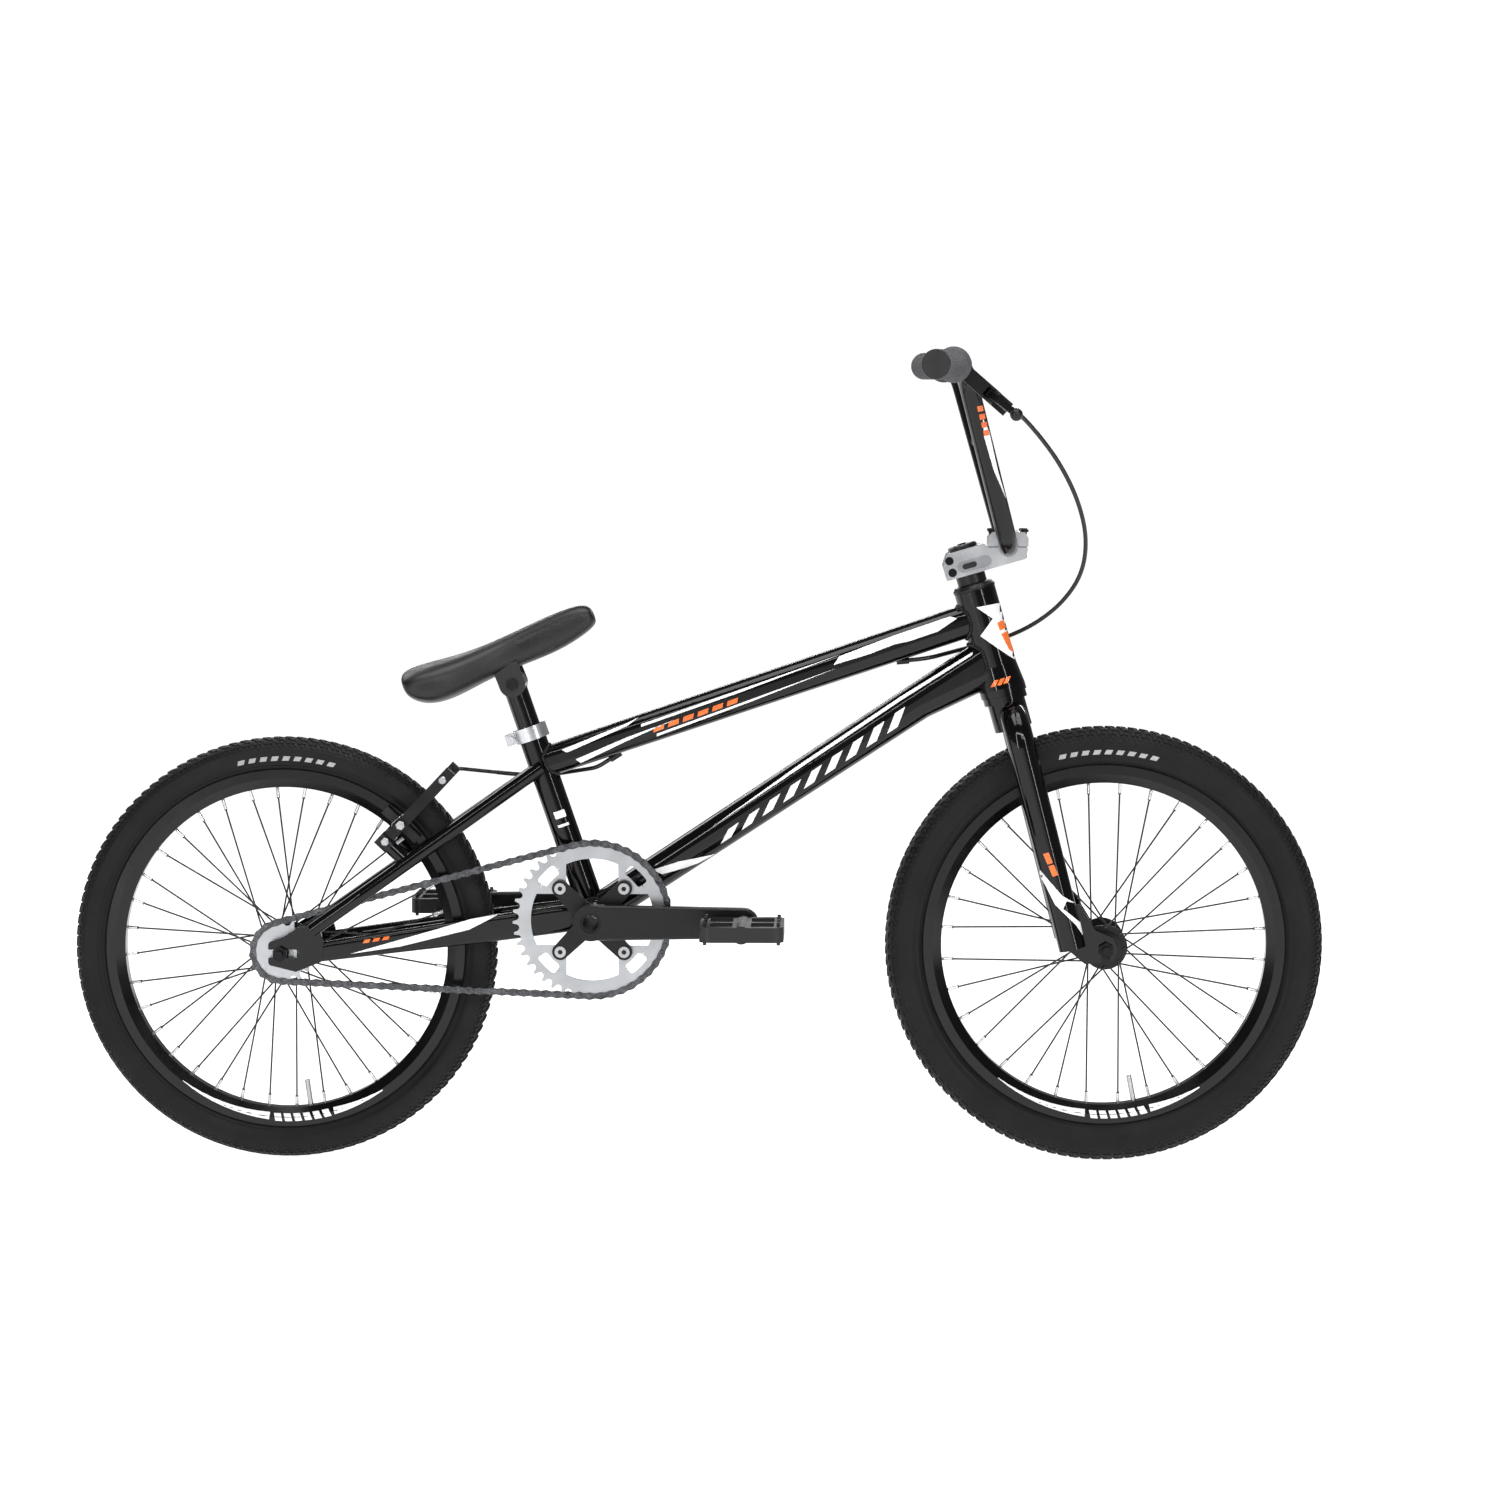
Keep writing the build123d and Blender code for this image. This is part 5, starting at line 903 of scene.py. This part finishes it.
# ---------------------------------------------------------------- drive train
@dataclass
class Drivetrain:
    """Chain of separate links, chainring, cranks and their fittings."""

    pitch: float = 12.7
    chainring_teeth: int = 44
    sprocket_teeth: int = 17
    line: float = 42.0
    inner_half: float = 1.7
    plate: float = 1.0
    roller: float = 3.85
    bolt_circle: float = 52.0
    bolt_face: float = 50.9

    def pins(self) -> list[Vector]:
        """Places the pins round the closed chain: chainring, upper run, sprocket, lower run.

        Returns:
            The pins' centres.
        """
        big = self.pitch / (2 * sin(pi / self.chainring_teeth))
        small = self.pitch / (2 * sin(pi / self.sprocket_teeth))
        distance = (BOTTOM_BRACKET - REAR_AXLE).length
        lean = (big - small) / distance
        big_half = pi / 2 + asin(lean)
        big_step = 2 * pi / self.chainring_teeth
        small_step = 2 * pi / self.sprocket_teeth
        big_seats = int(big_half / big_step)
        small_seats = int((pi - big_half) / small_step)
        straight = sqrt(distance**2 - (big - small)**2)
        rest = big * (big_half - big_seats * big_step)
        span = rest + straight + small * (pi - big_half - small_seats * small_step)
        links = round(span / self.pitch)

        def along(travel: float) -> Vector:
            """Finds the point at a distance past the chainring's last seated pin.

            Args:
                travel: The distance.
            Returns:
                The point, about the bottom bracket.
            """
            if travel < rest:
                angle = big_seats * big_step + travel / big
                return Vector((big * cos(angle), 0, big * sin(angle)))
            if travel < rest + straight:
                share = (travel - rest) / straight
                start = Vector((big * cos(big_half), 0, big * sin(big_half)))
                end = Vector((-distance + small * cos(big_half), 0, small * sin(big_half)))
                return start.lerp(end, share)
            angle = big_half + (travel - rest - straight) / small
            return Vector((-distance + small * cos(angle), 0, small * sin(angle)))

        pins = [Vector((big * cos(seat * big_step), 0, big * sin(seat * big_step)))
                for seat in range(-big_seats, big_seats + 1)]
        upper = [along(span * (place + 1) / links) for place in range(links - 1)]
        pins += upper
        for seat in range(-small_seats, small_seats + 1):
            angle = pi + seat * small_step
            pins.append(Vector((-distance + small * cos(angle), 0, small * sin(angle))))
        pins += [Vector((point.x, 0, -point.z)) for point in reversed(upper)]
        slope = atan2(BOTTOM_BRACKET.z - REAR_AXLE.z, BOTTOM_BRACKET.x - REAR_AXLE.x)
        turn = Matrix.Rotation(-slope, 3, "Y")
        return [BOTTOM_BRACKET + turn @ point + Vector((0, -self.line, 0)) for point in pins]

    def plate_outline(self, half: float, waist: float) -> list[tuple[float, float]]:
        """Draws the figure-of-eight outline of a side plate.

        Args:
            half: Half its width at the pins.
            waist: Half its width at its middle.
        Returns:
            Its corners.
        """
        reach = self.pitch / 2
        right = [(reach + half * cos(radians(a)), half * sin(radians(a))) for a in range(-110, 111, 22)]
        left = [(-x, -y) for x, y in right]
        return right + [(0, waist)] + left + [(0, -waist)]

    def link(self, outer: bool) -> Shape:
        """Makes one link along local X.

        Args:
            outer: Whether it holds the pins; an inner link holds the rollers.
        Returns:
            The link's shape.
        """
        shape = Shape()
        flat = frame_at(Vector(), Vector((0, 1, 0)), Vector((1, 0, 0)))
        low = self.inner_half + (self.plate + 0.1 if outer else 0)
        outline = self.plate_outline(4.15, 2.9)
        for side in SIDES.values():
            a, b = sorted((side * low, side * (low + self.plate)))
            shape.prism(flat, outline, a, b)
        for end in (-self.pitch / 2, self.pitch / 2):
            place = frame_at(Vector((end, 0, 0)), Vector((0, 1, 0)))
            if outer:
                reach = low + self.plate + 0.55
                shape.turned(place, [(1.2, -reach), (1.75, -reach + 0.3), (1.75, reach - 0.3),
                                     (1.2, reach)], 10)
            else:
                shape.turned(place, [(self.roller, -self.inner_half), (self.roller, self.inner_half)], 14)
        return shape

    def chain(self) -> None:
        """Makes the chain from inner and outer links in turn."""
        pins = self.pins()
        places: tuple[list, list] = ([], [])
        for place, pin in enumerate(pins):
            after = pins[(place + 1) % len(pins)]
            run = after - pin
            places[place % 2].append(((pin + after) / 2, Euler((0, -atan2(run.z, run.x), 0))))
        inner = repeated("inner_links", self.link(False), CHAIN_STEEL, places=places[0])
        outer = repeated("outer_links", self.link(True), CHAIN_STEEL, places=places[1])
        made = piece("roller_chain", merged("roller_chain", [inner, outer]), CHAIN_STEEL,
                     "frame", 30)
        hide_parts("chain")

    def build(self) -> None:
        """Makes the chain and dresses the rest of the drive train."""
        self.chain()
        dress(MACHINED, "chainring", "rear_sprocket")
        dress(ANODISED, "crank_arm_right", "crank_arm_left", "bottom_bracket_cups")
        dress(OXIDE, "crank_spindle", "pedal_axles")
        dress(ZINC, "chainring_bolts")
        dress(NYLON, "pedal_right", "pedal_left")
        # Painted shade: a flat black hexagon on each chainring bolt stands for the shadow inside its socket
        shape = Shape()
        for angle in (45, 135, 225, 315):
            out = Vector((cos(radians(angle)), 0, sin(radians(angle)))) * self.bolt_circle
            place = BOTTOM_BRACKET + out - Vector((0, self.bolt_face, 0))
            shape.prism(frame_at(place, Vector((0, -1, 0))), polygon(3.0, 6), 0, 0.25)
        piece("chainring_bolt_sockets", shape.mesh("chainring_bolt_sockets"), SOCKET_SHADE, "crank")


# ---------------------------------------------------------------- frame
@dataclass
class Weld:
    """One ripple bead round the joint between a tube and its neighbour."""

    tube: str
    target: str
    start: Vector
    along: Vector
    steps: int = 60


@dataclass
class FrameSet:
    """Frame tubes with their weld beads, prints and a painted highlight line."""

    bead_radius: float = 2.6
    bead_step: float = 1.9

    def weld_line(self, weld: Weld) -> list[Vector]:
        """Points where a tube's skin meets its neighbour.

        Args:
            weld: The joint.
        Returns:
            The points in order round the tube.
        """
        skin = surface_of(weld.tube)
        wall = surface_of(weld.target)
        place = frame_at(weld.start, weld.along)
        line = []
        for step in range(weld.steps):
            angle = 2 * pi * step / weld.steps
            out = (place.to_3x3() @ Vector((cos(angle), sin(angle), 0))).normalized()
            hit = skin.ray_cast(weld.start + out * 70, -out)[0]
            if hit is None:
                continue
            hit = wall.ray_cast(hit - weld.along * 20, weld.along, 120)[0]
            if hit is not None:
                line.append(hit)
        return line

    def beads(self, name: str, welds: Sequence[Weld]) -> None:
        """Lays overlapping bead scales along every joint.

        Args:
            name: The piece's name.
            welds: The joints.
        """
        places = []
        for weld in welds:
            line = self.weld_line(weld)
            if len(line) < 8:
                log.warning("no weld line between %s and %s", weld.tube, weld.target)
                continue
            travel = 0.0
            for first, second in zip(line, line[1:] + line[:1]):
                run = second - first
                if run.length > 25:
                    continue
                while travel < run.length:
                    turn = run.to_track_quat("X", "Z").to_euler()
                    places.append((first + run.normalized() * travel, turn))
                    travel += self.bead_step
                travel -= run.length
        scale = Shape().turned(Matrix.Rotation(pi / 2, 4, "Y"), [
            (0.4, -1.3), (1.9, -1.0), (self.bead_radius, 0.1), (2.2, 0.9), (0.4, 1.3)], 10)
        mesh = repeated(name, scale, ENAMEL, places=places)
        piece(name, mesh, ENAMEL, "frame", 60)

    def build(self) -> None:
        """Dresses the tubes and adds the beads, the prints and the painted highlight line."""
        dress(ENAMEL, "brake_posts", *("frame_" + part for part in (
            "head_tube", "top_tube", "down_tube", "seat_tube", "bb_shell", "chain_stays", "seat_stays",
            "dropouts")))
        dress(POLISHED, "seat_clamp")
        dress(ZINC, "headset_bearings")
        top_run = Vector((509.66, 0, 171.98)).normalized()
        down_run = Vector((0.81, 0, 0.586)).normalized()
        self.beads("frame_weld_beads", [
            Weld("frame_top_tube", "frame_head_tube", Vector((285, 0, 619)), top_run),
            Weld("frame_down_tube", "frame_head_tube", Vector((285, 0, 556)), down_run),
            Weld("frame_top_tube", "frame_seat_tube", Vector((-150, 0, 472.5)), -top_run),
            Weld("frame_down_tube", "frame_bb_shell", Vector((-62, 0, 322)), -down_run),
            Weld("frame_seat_tube", "frame_bb_shell", Vector((-134, 0, 328)), Vector((0.3256, 0, -0.9455)))])
        self.prints()

    def prints(self) -> None:
        """Lays the white and orange prints of the frame and a white painted highlight along the down tube's
        top edge.
        """
        bars = []
        count, low, high, half, slope, lean = 9, (22, 371), (238, 519), 6.0, 8.04, 9.0
        for place in range(count):
            share = (place + 0.5) / count
            x = low[0] + (high[0] - low[0]) * share
            z = low[1] + (high[1] - low[1]) * share
            tall = 24.0 * (0.7 + 0.3 * share) / 2
            bars.append(((x - half, z - tall), (x + half, z - tall + slope),
                         (x + half + lean, z + tall + slope), (x - half + lean, z + tall)))
        for name, part, ink, lift, outlines in (
                ("down_tube_white_bars", "down_tube", WHITE_INK_AND_HIGHLIGHT, 0.4, bars),
                # Painted highlight: a thin white line along the down tube's top edge stands in for the
                # reflection of the lights there
                ("down_tube_edge_line", "down_tube", WHITE_INK_AND_HIGHLIGHT, 0.4, (
                    ((18, 390), (120, 459), (237, 538), (318, 590), (318, 593), (236, 541.5), (119, 462.5)),
                    ((-51, 340), (-20, 350), (21, 358), (2, 348), (-12, 343), (-40, 335)))),
                ("top_tube_white_flash", "top_tube", WHITE_INK_AND_HIGHLIGHT, 0.4, (
                    ((165, 588), (228, 612), (292, 634), (300, 632), (278, 617), (246, 606), (228, 602),
                     (200, 591), (158, 578)),
                    ((-64, 509), (50, 549), (166, 590), (50, 546), (-64, 506)),
                    ((-46, 498), (60, 537), (163, 575), (60, 534.5), (-46, 495)))),
                ("top_tube_orange_blocks", "top_tube", ORANGE_INK, 0.4, [
                    [(x + 17 * n, z + 6.1 * n) for x, z in (
                        (-50, 499.5), (-38, 503.8), (-37, 509.8), (-49, 505.5))] for n in range(6)]),
                ("top_tube_rear_lines", "top_tube", WHITE_INK_AND_HIGHLIGHT, 0.4, (
                    ((-156, 479), (-80, 510), (-68, 516), (-80, 507), (-150, 476)),
                    ((-140, 468), (-80, 494), (-26, 514), (-80, 490), (-134, 464)))),
                ("head_tube_white_flash", "head_tube", WHITE_INK_AND_HIGHLIGHT, 0.4, (
                    ((322, 645), (341, 632), (327, 612), (344, 600), (361, 588), (376, 579), (379, 583),
                     (360, 650), (345, 649)),)),
                ("head_tube_orange_blocks", "head_tube", ORANGE_INK, 0.7, (
                    ((346, 627), (353, 630), (356, 621), (349, 618)),
                    ((350.5, 614), (357.5, 617), (366, 592), (360, 596)),
                    *(((339 + 7 * n, 553 + 2 * n), (343 + 7 * n, 561 + 2 * n), (348 + 7 * n, 562 + 2 * n),
                       (344 + 7 * n, 554 + 2 * n)) for n in range(3)))),
                ("chain_stay_white_wedge", "chain_stays", WHITE_INK_AND_HIGHLIGHT, 0.5, (
                    ((-398, 246), (-341, 254), (-262, 273), (-228, 290), (-262, 284), (-341, 262)),)),
                ("chain_stay_orange_blocks", "chain_stays", ORANGE_INK, 0.4, [
                    [(x + 11 * n, z + 1.6 * n) for x, z in (
                        (-384, 258), (-377, 259), (-375, 263), (-382, 262))] for n in range(3)]),
                ("seat_tube_white_marks", "seat_tube", WHITE_INK_AND_HIGHLIGHT, 0.4, (
                    ((-163, 398), (-151, 402), (-154, 410), (-166, 406)),
                    ((-160, 388), (-148, 392), (-149, 395), (-161, 391))))):
            Decal(name, ("frame_" + part,), "frame", ink, "frame_paint", tuple(outlines), lift).build()


# ---------------------------------------------------------------- saddle and post
@dataclass
class Saddle:
    """Padded saddle, its seat post and clamp bolts."""

    tilt: float = 21.5
    stuffing: float = 2.0
    stations: tuple[tuple[float, float, float, float, float], ...] = (
        (116.4, 19.0, 34.5, 44.0, 2.0), (113.0, 29.0, 30.0, 51.0, 2.2), (100.0, 36.0, 24.5, 56.0, 2.4),
        (64.0, 39.5, 17.0, 56.2, 2.6), (20.0, 45.5, 17.5, 53.0, 2.6), (-10.0, 59.0, 17.0, 51.4, 2.6),
        (-42.0, 95.0, 14.0, 51.8, 2.8), (-70.0, 125.0, 10.5, 54.6, 3.0), (-96.0, 133.0, 14.0, 57.8, 3.0),
        (-111.0, 128.0, 25.0, 57.6, 2.6), (-117.0, 108.0, 35.0, 54.0, 2.2))

    def build(self) -> None:
        """Makes the cover and dresses the post, base and bolt."""
        forward = Vector((cos(radians(self.tilt)), 0, sin(radians(self.tilt))))
        up = Vector((-sin(radians(self.tilt)), 0, cos(radians(self.tilt))))
        rings = []
        for ahead, width, low, high, power in self.stations:
            ring = []
            for step in range(24):
                angle = 2 * pi * step / 24
                c, s = cos(angle), sin(angle)
                across = abs(c) ** (2 / power) * (1 if c > 0 else -1) * width / 2
                rise = abs(s) ** (2 / power) * (1 if s > 0 else -1) * ((high - low) / 2 + self.stuffing)
                ring.append(POST_HEAD + forward * ahead + up * ((low + high) / 2 + rise)
                            + Vector((0, across, 0)))
            rings.append(ring)
        mesh = Shape().rings(rings).mesh("saddle_padding")
        cover = add_object("saddle_work", mesh)
        rounding = cover.modifiers.new("rounding", "SUBSURF")
        rounding.levels = rounding.render_levels = 2
        made = piece("saddle_padding", plain_mesh(cover), VINYL, "saddle", 80)
        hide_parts("saddle_cover")
        dress(NYLON, "saddle_base")
        dress(OXIDE, "saddle_bolt")
        dress(POWDER, "seat_post")


# ---------------------------------------------------------------- steering
@dataclass
class Steering:
    """Fork, headset, stem, handlebar, grips, lever and the long brake cable."""

    bar_half: float = 362.0
    set_back: float = 56.0
    rise: float = 208.0
    corner_spread: float = 160.0
    sweep: float = 9.9
    grip_radius: float = 15.6
    grip_length: float = 128.0
    stud: float = 3.1
    cable_radius: float = 2.5

    def grip_place(self, side: int, inboard: float) -> Vector:
        """Finds a point on a grip's centre line, measured in from the bar's end."""
        reach = (self.bar_half - self.corner_spread) / cos(radians(self.sweep)) - inboard
        corner = BAR_CENTRE + Vector((-self.set_back, side * self.corner_spread, self.rise))
        return corner + self.grip_line(side) * reach

    def grip_line(self, side: int) -> Vector:
        """Direction of a grip, outwards."""
        return Vector((-sin(radians(self.sweep)), side * cos(radians(self.sweep)), 0))

    def grips(self) -> None:
        """Two grips with an inner flange, an outer lip and rows of small diamond studs."""
        start = 4.0
        body = Shape()
        places = []
        for side in SIDES.values():
            outer = self.grip_place(side, start)
            line = self.grip_line(side)
            radius = self.grip_radius
            place = frame_at(outer, -line, Vector((0, 0, 1)))
            body.turned(place, [(11.15, 0.2), (16.2, 0.2), (16.5, 1.2), (16.3, 3.6), (radius, 4.4),
                                (radius, self.grip_length - 9), (17.4, self.grip_length - 6),
                                (19.4, self.grip_length - 3.4), (20.0, self.grip_length - 2.2),
                                (19.6, self.grip_length - 0.2), (11.15, self.grip_length - 0.2)],
                        48, loop=True)
            rows = int((self.grip_length - 16) / self.stud)
            around = int(2 * pi * radius / self.stud)
            for row in range(rows):
                for step in range(around):
                    angle = 2 * pi * (step + row % 2 / 2) / around
                    out = place.to_3x3() @ Vector((cos(angle), sin(angle), 0))
                    turn = frame_at(Vector(), out, line).to_euler()
                    foot = Vector((radius * cos(angle), radius * sin(angle), 6 + row * self.stud))
                    places.append((place @ foot, turn))
        item = Shape()
        item.rings([[Vector((x, y, -0.3)) for x, y in polygon(1.75, 4)],
                    [Vector((x, y, 0.75)) for x, y in polygon(0.75, 4)]])
        studs = repeated("grip_studs", item, GRIP_RUBBER, places=places)
        whole = merged("rubber_grips", [body.mesh("grip_body"), studs])
        made = piece("rubber_grips", whole, GRIP_RUBBER, "steering", 30)
        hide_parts("grips")

    def cable(self) -> None:
        """Brake cable along one smooth line from the lever to the top tube."""
        route = [(346.7, -174.3, 879.6), (346.7, -152.3, 879.6), (366, -130, 868), (390, -116, 842),
                 (414, -98, 810), (435, -74, 770), (447, -48, 727), (444, -22, 685), (424, 3, 651),
                 (393, 23, 624), (357, 36, 606), (322, 35, 597), (291, 17, 590), (265.1, 0, 584.2),
                 (245.2, 0, 582.6)]
        curve = bpy.data.curves.new("brake_cable_line", "CURVE")
        curve.dimensions = "3D"
        spline = curve.splines.new("NURBS")
        spline.points.add(len(route) - 1)
        for point, place in zip(spline.points, route):
            point.co = (*place, 1.0)
        spline.order_u = 3
        spline.use_endpoint_u = True
        spline.resolution_u = 8
        line = plain_mesh(add_object("brake_cable_line", curve))
        path = [vertex.co.copy() for vertex in line.vertices]
        shape = Shape().tube(path, self.cable_radius, 14)
        made = piece("brake_cable_housing", shape.mesh("brake_cable_housing"), HOUSING, None, 60)
        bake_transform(made)
        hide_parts("brake_cable")

    def fittings(self) -> None:
        """Adds painted shade for the bolt sockets, and on each flank of the stem a scoop whose darker silver
        is partly painted shade, with a painted shade slot.
        """
        # Painted shade: a flat black hexagon on each stem bolt stands for the shadow inside its socket
        sockets = Shape()
        for along in (-18.4, 18.4):
            for across in (-17.0, 17.0):
                top = BAR_CENTRE + Vector((along, across, 20.45))
                sockets.prism(frame_at(top, Vector((0, 0, 1))), polygon(2.5, 6), 0, 0.25)
        piece("stem_bolt_sockets", sockets.mesh("stem_bolt_sockets"), SOCKET_SHADE, "steering")
        along, up = Vector((0.9613, 0.2756)), Vector((-0.2756, 0.9613))
        for name, finish, slot, length, height, lift in (
                # The scoop's darker silver is partly painted shade of the recess
                ("stem_flank_scoops", SCOOP_SHADE, "silver_parts", 40.0, 13.0, 0.4),
                # Painted shade: the black oval stands for the shadow seen through the stem's slot
                ("stem_flank_slots", SOCKET_SHADE, "steel", 17.0, 6.5, 0.7)):
            bow = [radians(-90 + 20 * step) for step in range(10)]
            oval = [((length - height) / 2 + height / 2 * cos(a), height / 2 * sin(a)) for a in bow]
            oval += [(-x, -y) for x, y in oval]
            back = 40.0 if finish is SCOOP_SHADE else 46.0
            middle = Vector((BAR_CENTRE.x, BAR_CENTRE.z - 8.0)) - along * back
            outline = tuple(tuple(middle + along * x + up * y) for x, y in oval)
            Decal(name, ("stem_body",), "steering", finish, slot, (outline,), lift, 2.0).build()

    def build(self) -> None:
        """Builds the grips, cable and fittings and dresses the CAD nodes."""
        self.grips()
        self.cable()
        self.fittings()
        dress(ENAMEL, "fork_steerer", "fork_legs", "fork_dropouts")
        dress(POLISHED, "stem_body", "stem_clamp_cap")
        dress(ANODISED, "headset_spacers", "steerer_top_cap", "brake_lever_perch", "barrel_adjuster",
              "brake_lever")
        dress(OXIDE, "stem_bolts")
        dress(POWDER, "handlebar")
        dress(NYLON, "bar_end_plugs")
        riser = Vector((self.set_back, -self.rise)) / self.rise
        bend = Vector((BAR_CENTRE.x - self.set_back, BAR_CENTRE.z + self.rise))
        stripe = [bend + riser * down + Vector((out, 0))
                  for down, out in ((60, 6.0), (74, 9.6), (118, 8.4), (150, 9.8), (118, 4.0), (80, 2.4))]
        marks = [[bend + riser * (46 + 9 * n) + Vector(corner) for corner in (
            (3, 0), (9, 1), (10.2, -5), (4.2, -6))] for n in range(4)]
        for name, target, ink, slot, lift, outlines in (
                ("fork_white_flash", "fork_legs", WHITE_INK_AND_HIGHLIGHT, "fork_paint", 0.5, (
                    ((386, 370), (394, 348), (406, 334), (420, 318), (436, 308), (425, 312), (421, 303),
                     (430, 296), (441, 286), (444, 272), (436, 284), (424, 296), (412, 308), (401, 330),
                     (390, 348)),)),
                ("fork_orange_blocks", "fork_legs", ORANGE_INK, "fork_paint", 0.5, (
                    ((398, 366), (404, 368), (409, 356), (403, 354)),
                    ((404, 352), (410, 354), (415, 342), (409, 340)))),
                ("bar_white_flash", "handlebar", WHITE_INK_AND_HIGHLIGHT, "bar", 0.4, (stripe,)),
                ("bar_orange_marks", "handlebar", ORANGE_INK, "bar", 0.6, marks)):
            Decal(name, (target,), "steering", ink, slot, tuple(outlines), lift).build()


# ---------------------------------------------------------------- brake
@dataclass
class RearBrake:
    """Brake arms, pads and their small hardware."""

    nut_face: float = 50.2
    anchor_face: float = 39.5

    def place(self, out: float, across: float, along: float = 0.0) -> Vector:
        """Finds a point by its distances out from the pivot, across the bicycle and along the axis."""
        tangent = Vector((-0.73016, 0, 0.68328))
        return BRAKE_PIVOT + BRAKE_OUT * out + tangent * along + Vector((0, across, 0))

    def build(self) -> None:
        """Adds springs, nuts and anchor bolts to both arms and dresses them."""
        for side, sign in SIDES.items():
            body = "brake_" + side
            dress(ANODISED, "brake_arm_" + side)
            dress(PAD_RUBBER, "brake_pad_" + side)
            outwards = Vector((0, sign, 0))
            nut = Shape()
            face = sign * self.nut_face
            for out, radius, height in ((2.0, 5.0, 4.5), (28.0, 5.6, 5.0)):
                nut.prism(frame_at(self.place(out, face), outwards), polygon(radius, 6), -1.0, height, 0.5)
                nut.turned(frame_at(self.place(out, face), outwards), [(2.4, 0), (2.4, height + 1.2)], 12)
            anchor = self.place(98.0, sign * self.anchor_face)
            nut.turned(frame_at(anchor, outwards), [(4.2, 0), (4.6, 0.6), (4.6, 3.6), (3.8, 4.4)], 18)
            piece(body + "_nuts", nut.mesh(body + "_nuts"), ZINC, body, 35)
            path = []
            for step in range(40):
                angle = 2 * pi * step / 13
                path.append(self.place(2 + 6.6 * cos(angle), sign * (34.0 - 0.25 * step), 6.6 * sin(angle)))
            path += [self.place(20 + 12 * n, sign * (30.5 + 0.9 * n), 8.5 - 1.4 * n) for n in range(5)]
            spring = Shape().tube(path, 0.75, 8)
            piece(body + "_spring", spring.mesh(body + "_spring"), STAINLESS, body, 60)
        dress(HOUSING, "rear_brake_cable")


# ---------------------------------------------------------------- studio
@dataclass
class Studio:
    """Pale floor, soft lights and the camera."""

    lens: float = 101.57
    place: tuple[float, float, float] = (0.1721, -4.8846, 0.9064)
    pitch: float = 84.989
    yaw: float = 1.298
    floor_half: float = 9000.0
    lamps: tuple[tuple[str, Point, Point, Point, float], ...] = (
        ("overhead_box", (0.1, -0.5, 3.6), (0, 0, 0.3), (3.2, 2.2), 95),
        ("front_box", (1.6, -3.4, 2.4), (0, 0, 0.4), (1.6, 0.9), 20),
        ("rear_box", (-2.2, 2.6, 2.6), (0, 0, 0.4), (1.8, 1.2), 30),
        ("upper_strip", (0.2, -2.7, 2.3), (0, 0, 0.4), (3.0, 0.16), 24),
        ("side_strip", (-1.5, -3.0, 1.1), (0, 0, 0.5), (0.16, 2.2), 20),
        ("front_strip", (2.1, -2.6, 1.0), (0.3, 0, 0.5), (0.12, 2.2), 18),
        ("back_strip", (0.4, 2.9, 1.6), (0, 0, 0.4), (3.0, 0.16), 20))

    def light(self, name: str, place: Point, aim: Point, size: Point, power: float) -> None:
        """Adds one soft box.

        Args:
            name: The light's name.
            place: Where it stands, in metres.
            aim: The point it faces.
            size: Its width and height.
            power: Its power in watts.
        """
        data = bpy.data.lights.new(name, "AREA")
        data.shape = "RECTANGLE"
        data.size, data.size_y = size
        data.energy = power
        lamp = add_object(name, data)
        lamp.location = place
        lamp.rotation_euler = (Vector(aim) - Vector(place)).to_track_quat("-Z", "Y").to_euler()

    def world(self) -> None:
        """White backdrop over a dim surround, so gloss black stays deep with crisp highlights."""
        world = bpy.data.worlds.new("studio_world")
        bpy.context.scene.world = world
        world.use_nodes = True
        tree = world.node_tree
        tree.nodes.clear()
        place = add_node(tree, "ShaderNodeTexCoord").outputs["Generated"]
        height = add_node(tree, "ShaderNodeSeparateXYZ", {0: place}).outputs["Z"]
        light = add_node(tree, "ShaderNodeMapRange", {
            "Value": height, "From Min": 0.05, "From Max": 0.5, "To Min": 0.2, "To Max": 0.12}).outputs[0]
        seen = add_node(tree, "ShaderNodeLightPath").outputs["Is Camera Ray"]
        shade = add_node(tree, "ShaderNodeMix", {"Factor": seen, 2: light, 3: 1.05}).outputs[0]
        back = add_node(tree, "ShaderNodeBackground", {"Color": linear("ffffff"), "Strength": shade})
        add_node(tree, "ShaderNodeOutputWorld", {"Surface": back.outputs[0]})

    def build(self) -> None:
        """Builds the floor, world, lights and camera."""
        scene = bpy.context.scene
        scene.view_settings.view_transform = "Standard"
        floor = Shape()
        floor.rings([[Vector((x, y, z)) * self.floor_half for x, y in ((-1, -1), (1, -1), (1, 1), (-1, 1))]
                     for z in (-1 / 300, 0)])
        mesh = floor.mesh("studio_floor")
        mesh.materials.append(FLOOR.material())
        add_object("studio_floor", mesh)
        self.world()
        for name, place, aim, size, power in self.lamps:
            self.light(name, place, aim, size, power)
        data = bpy.data.cameras.new("camera")
        data.lens = self.lens
        data.sensor_width = 36.0
        data.clip_end = 60.0
        camera = add_object("camera", data)
        camera.location = self.place
        camera.rotation_euler = (radians(self.pitch), 0, radians(self.yaw))
        scene.camera = camera


def main() -> None:
    """Builds every sub-assembly in order."""
    logging.basicConfig(level=logging.INFO, format="%(name)s %(message)s")
    for assembly in (Studio(), Wheels(), Drivetrain(), FrameSet(), Saddle(), Steering(), RearBrake()):
        assembly.build()
        log.info("%s is in place", type(assembly).__name__)


if __name__ == "__main__":
    main()
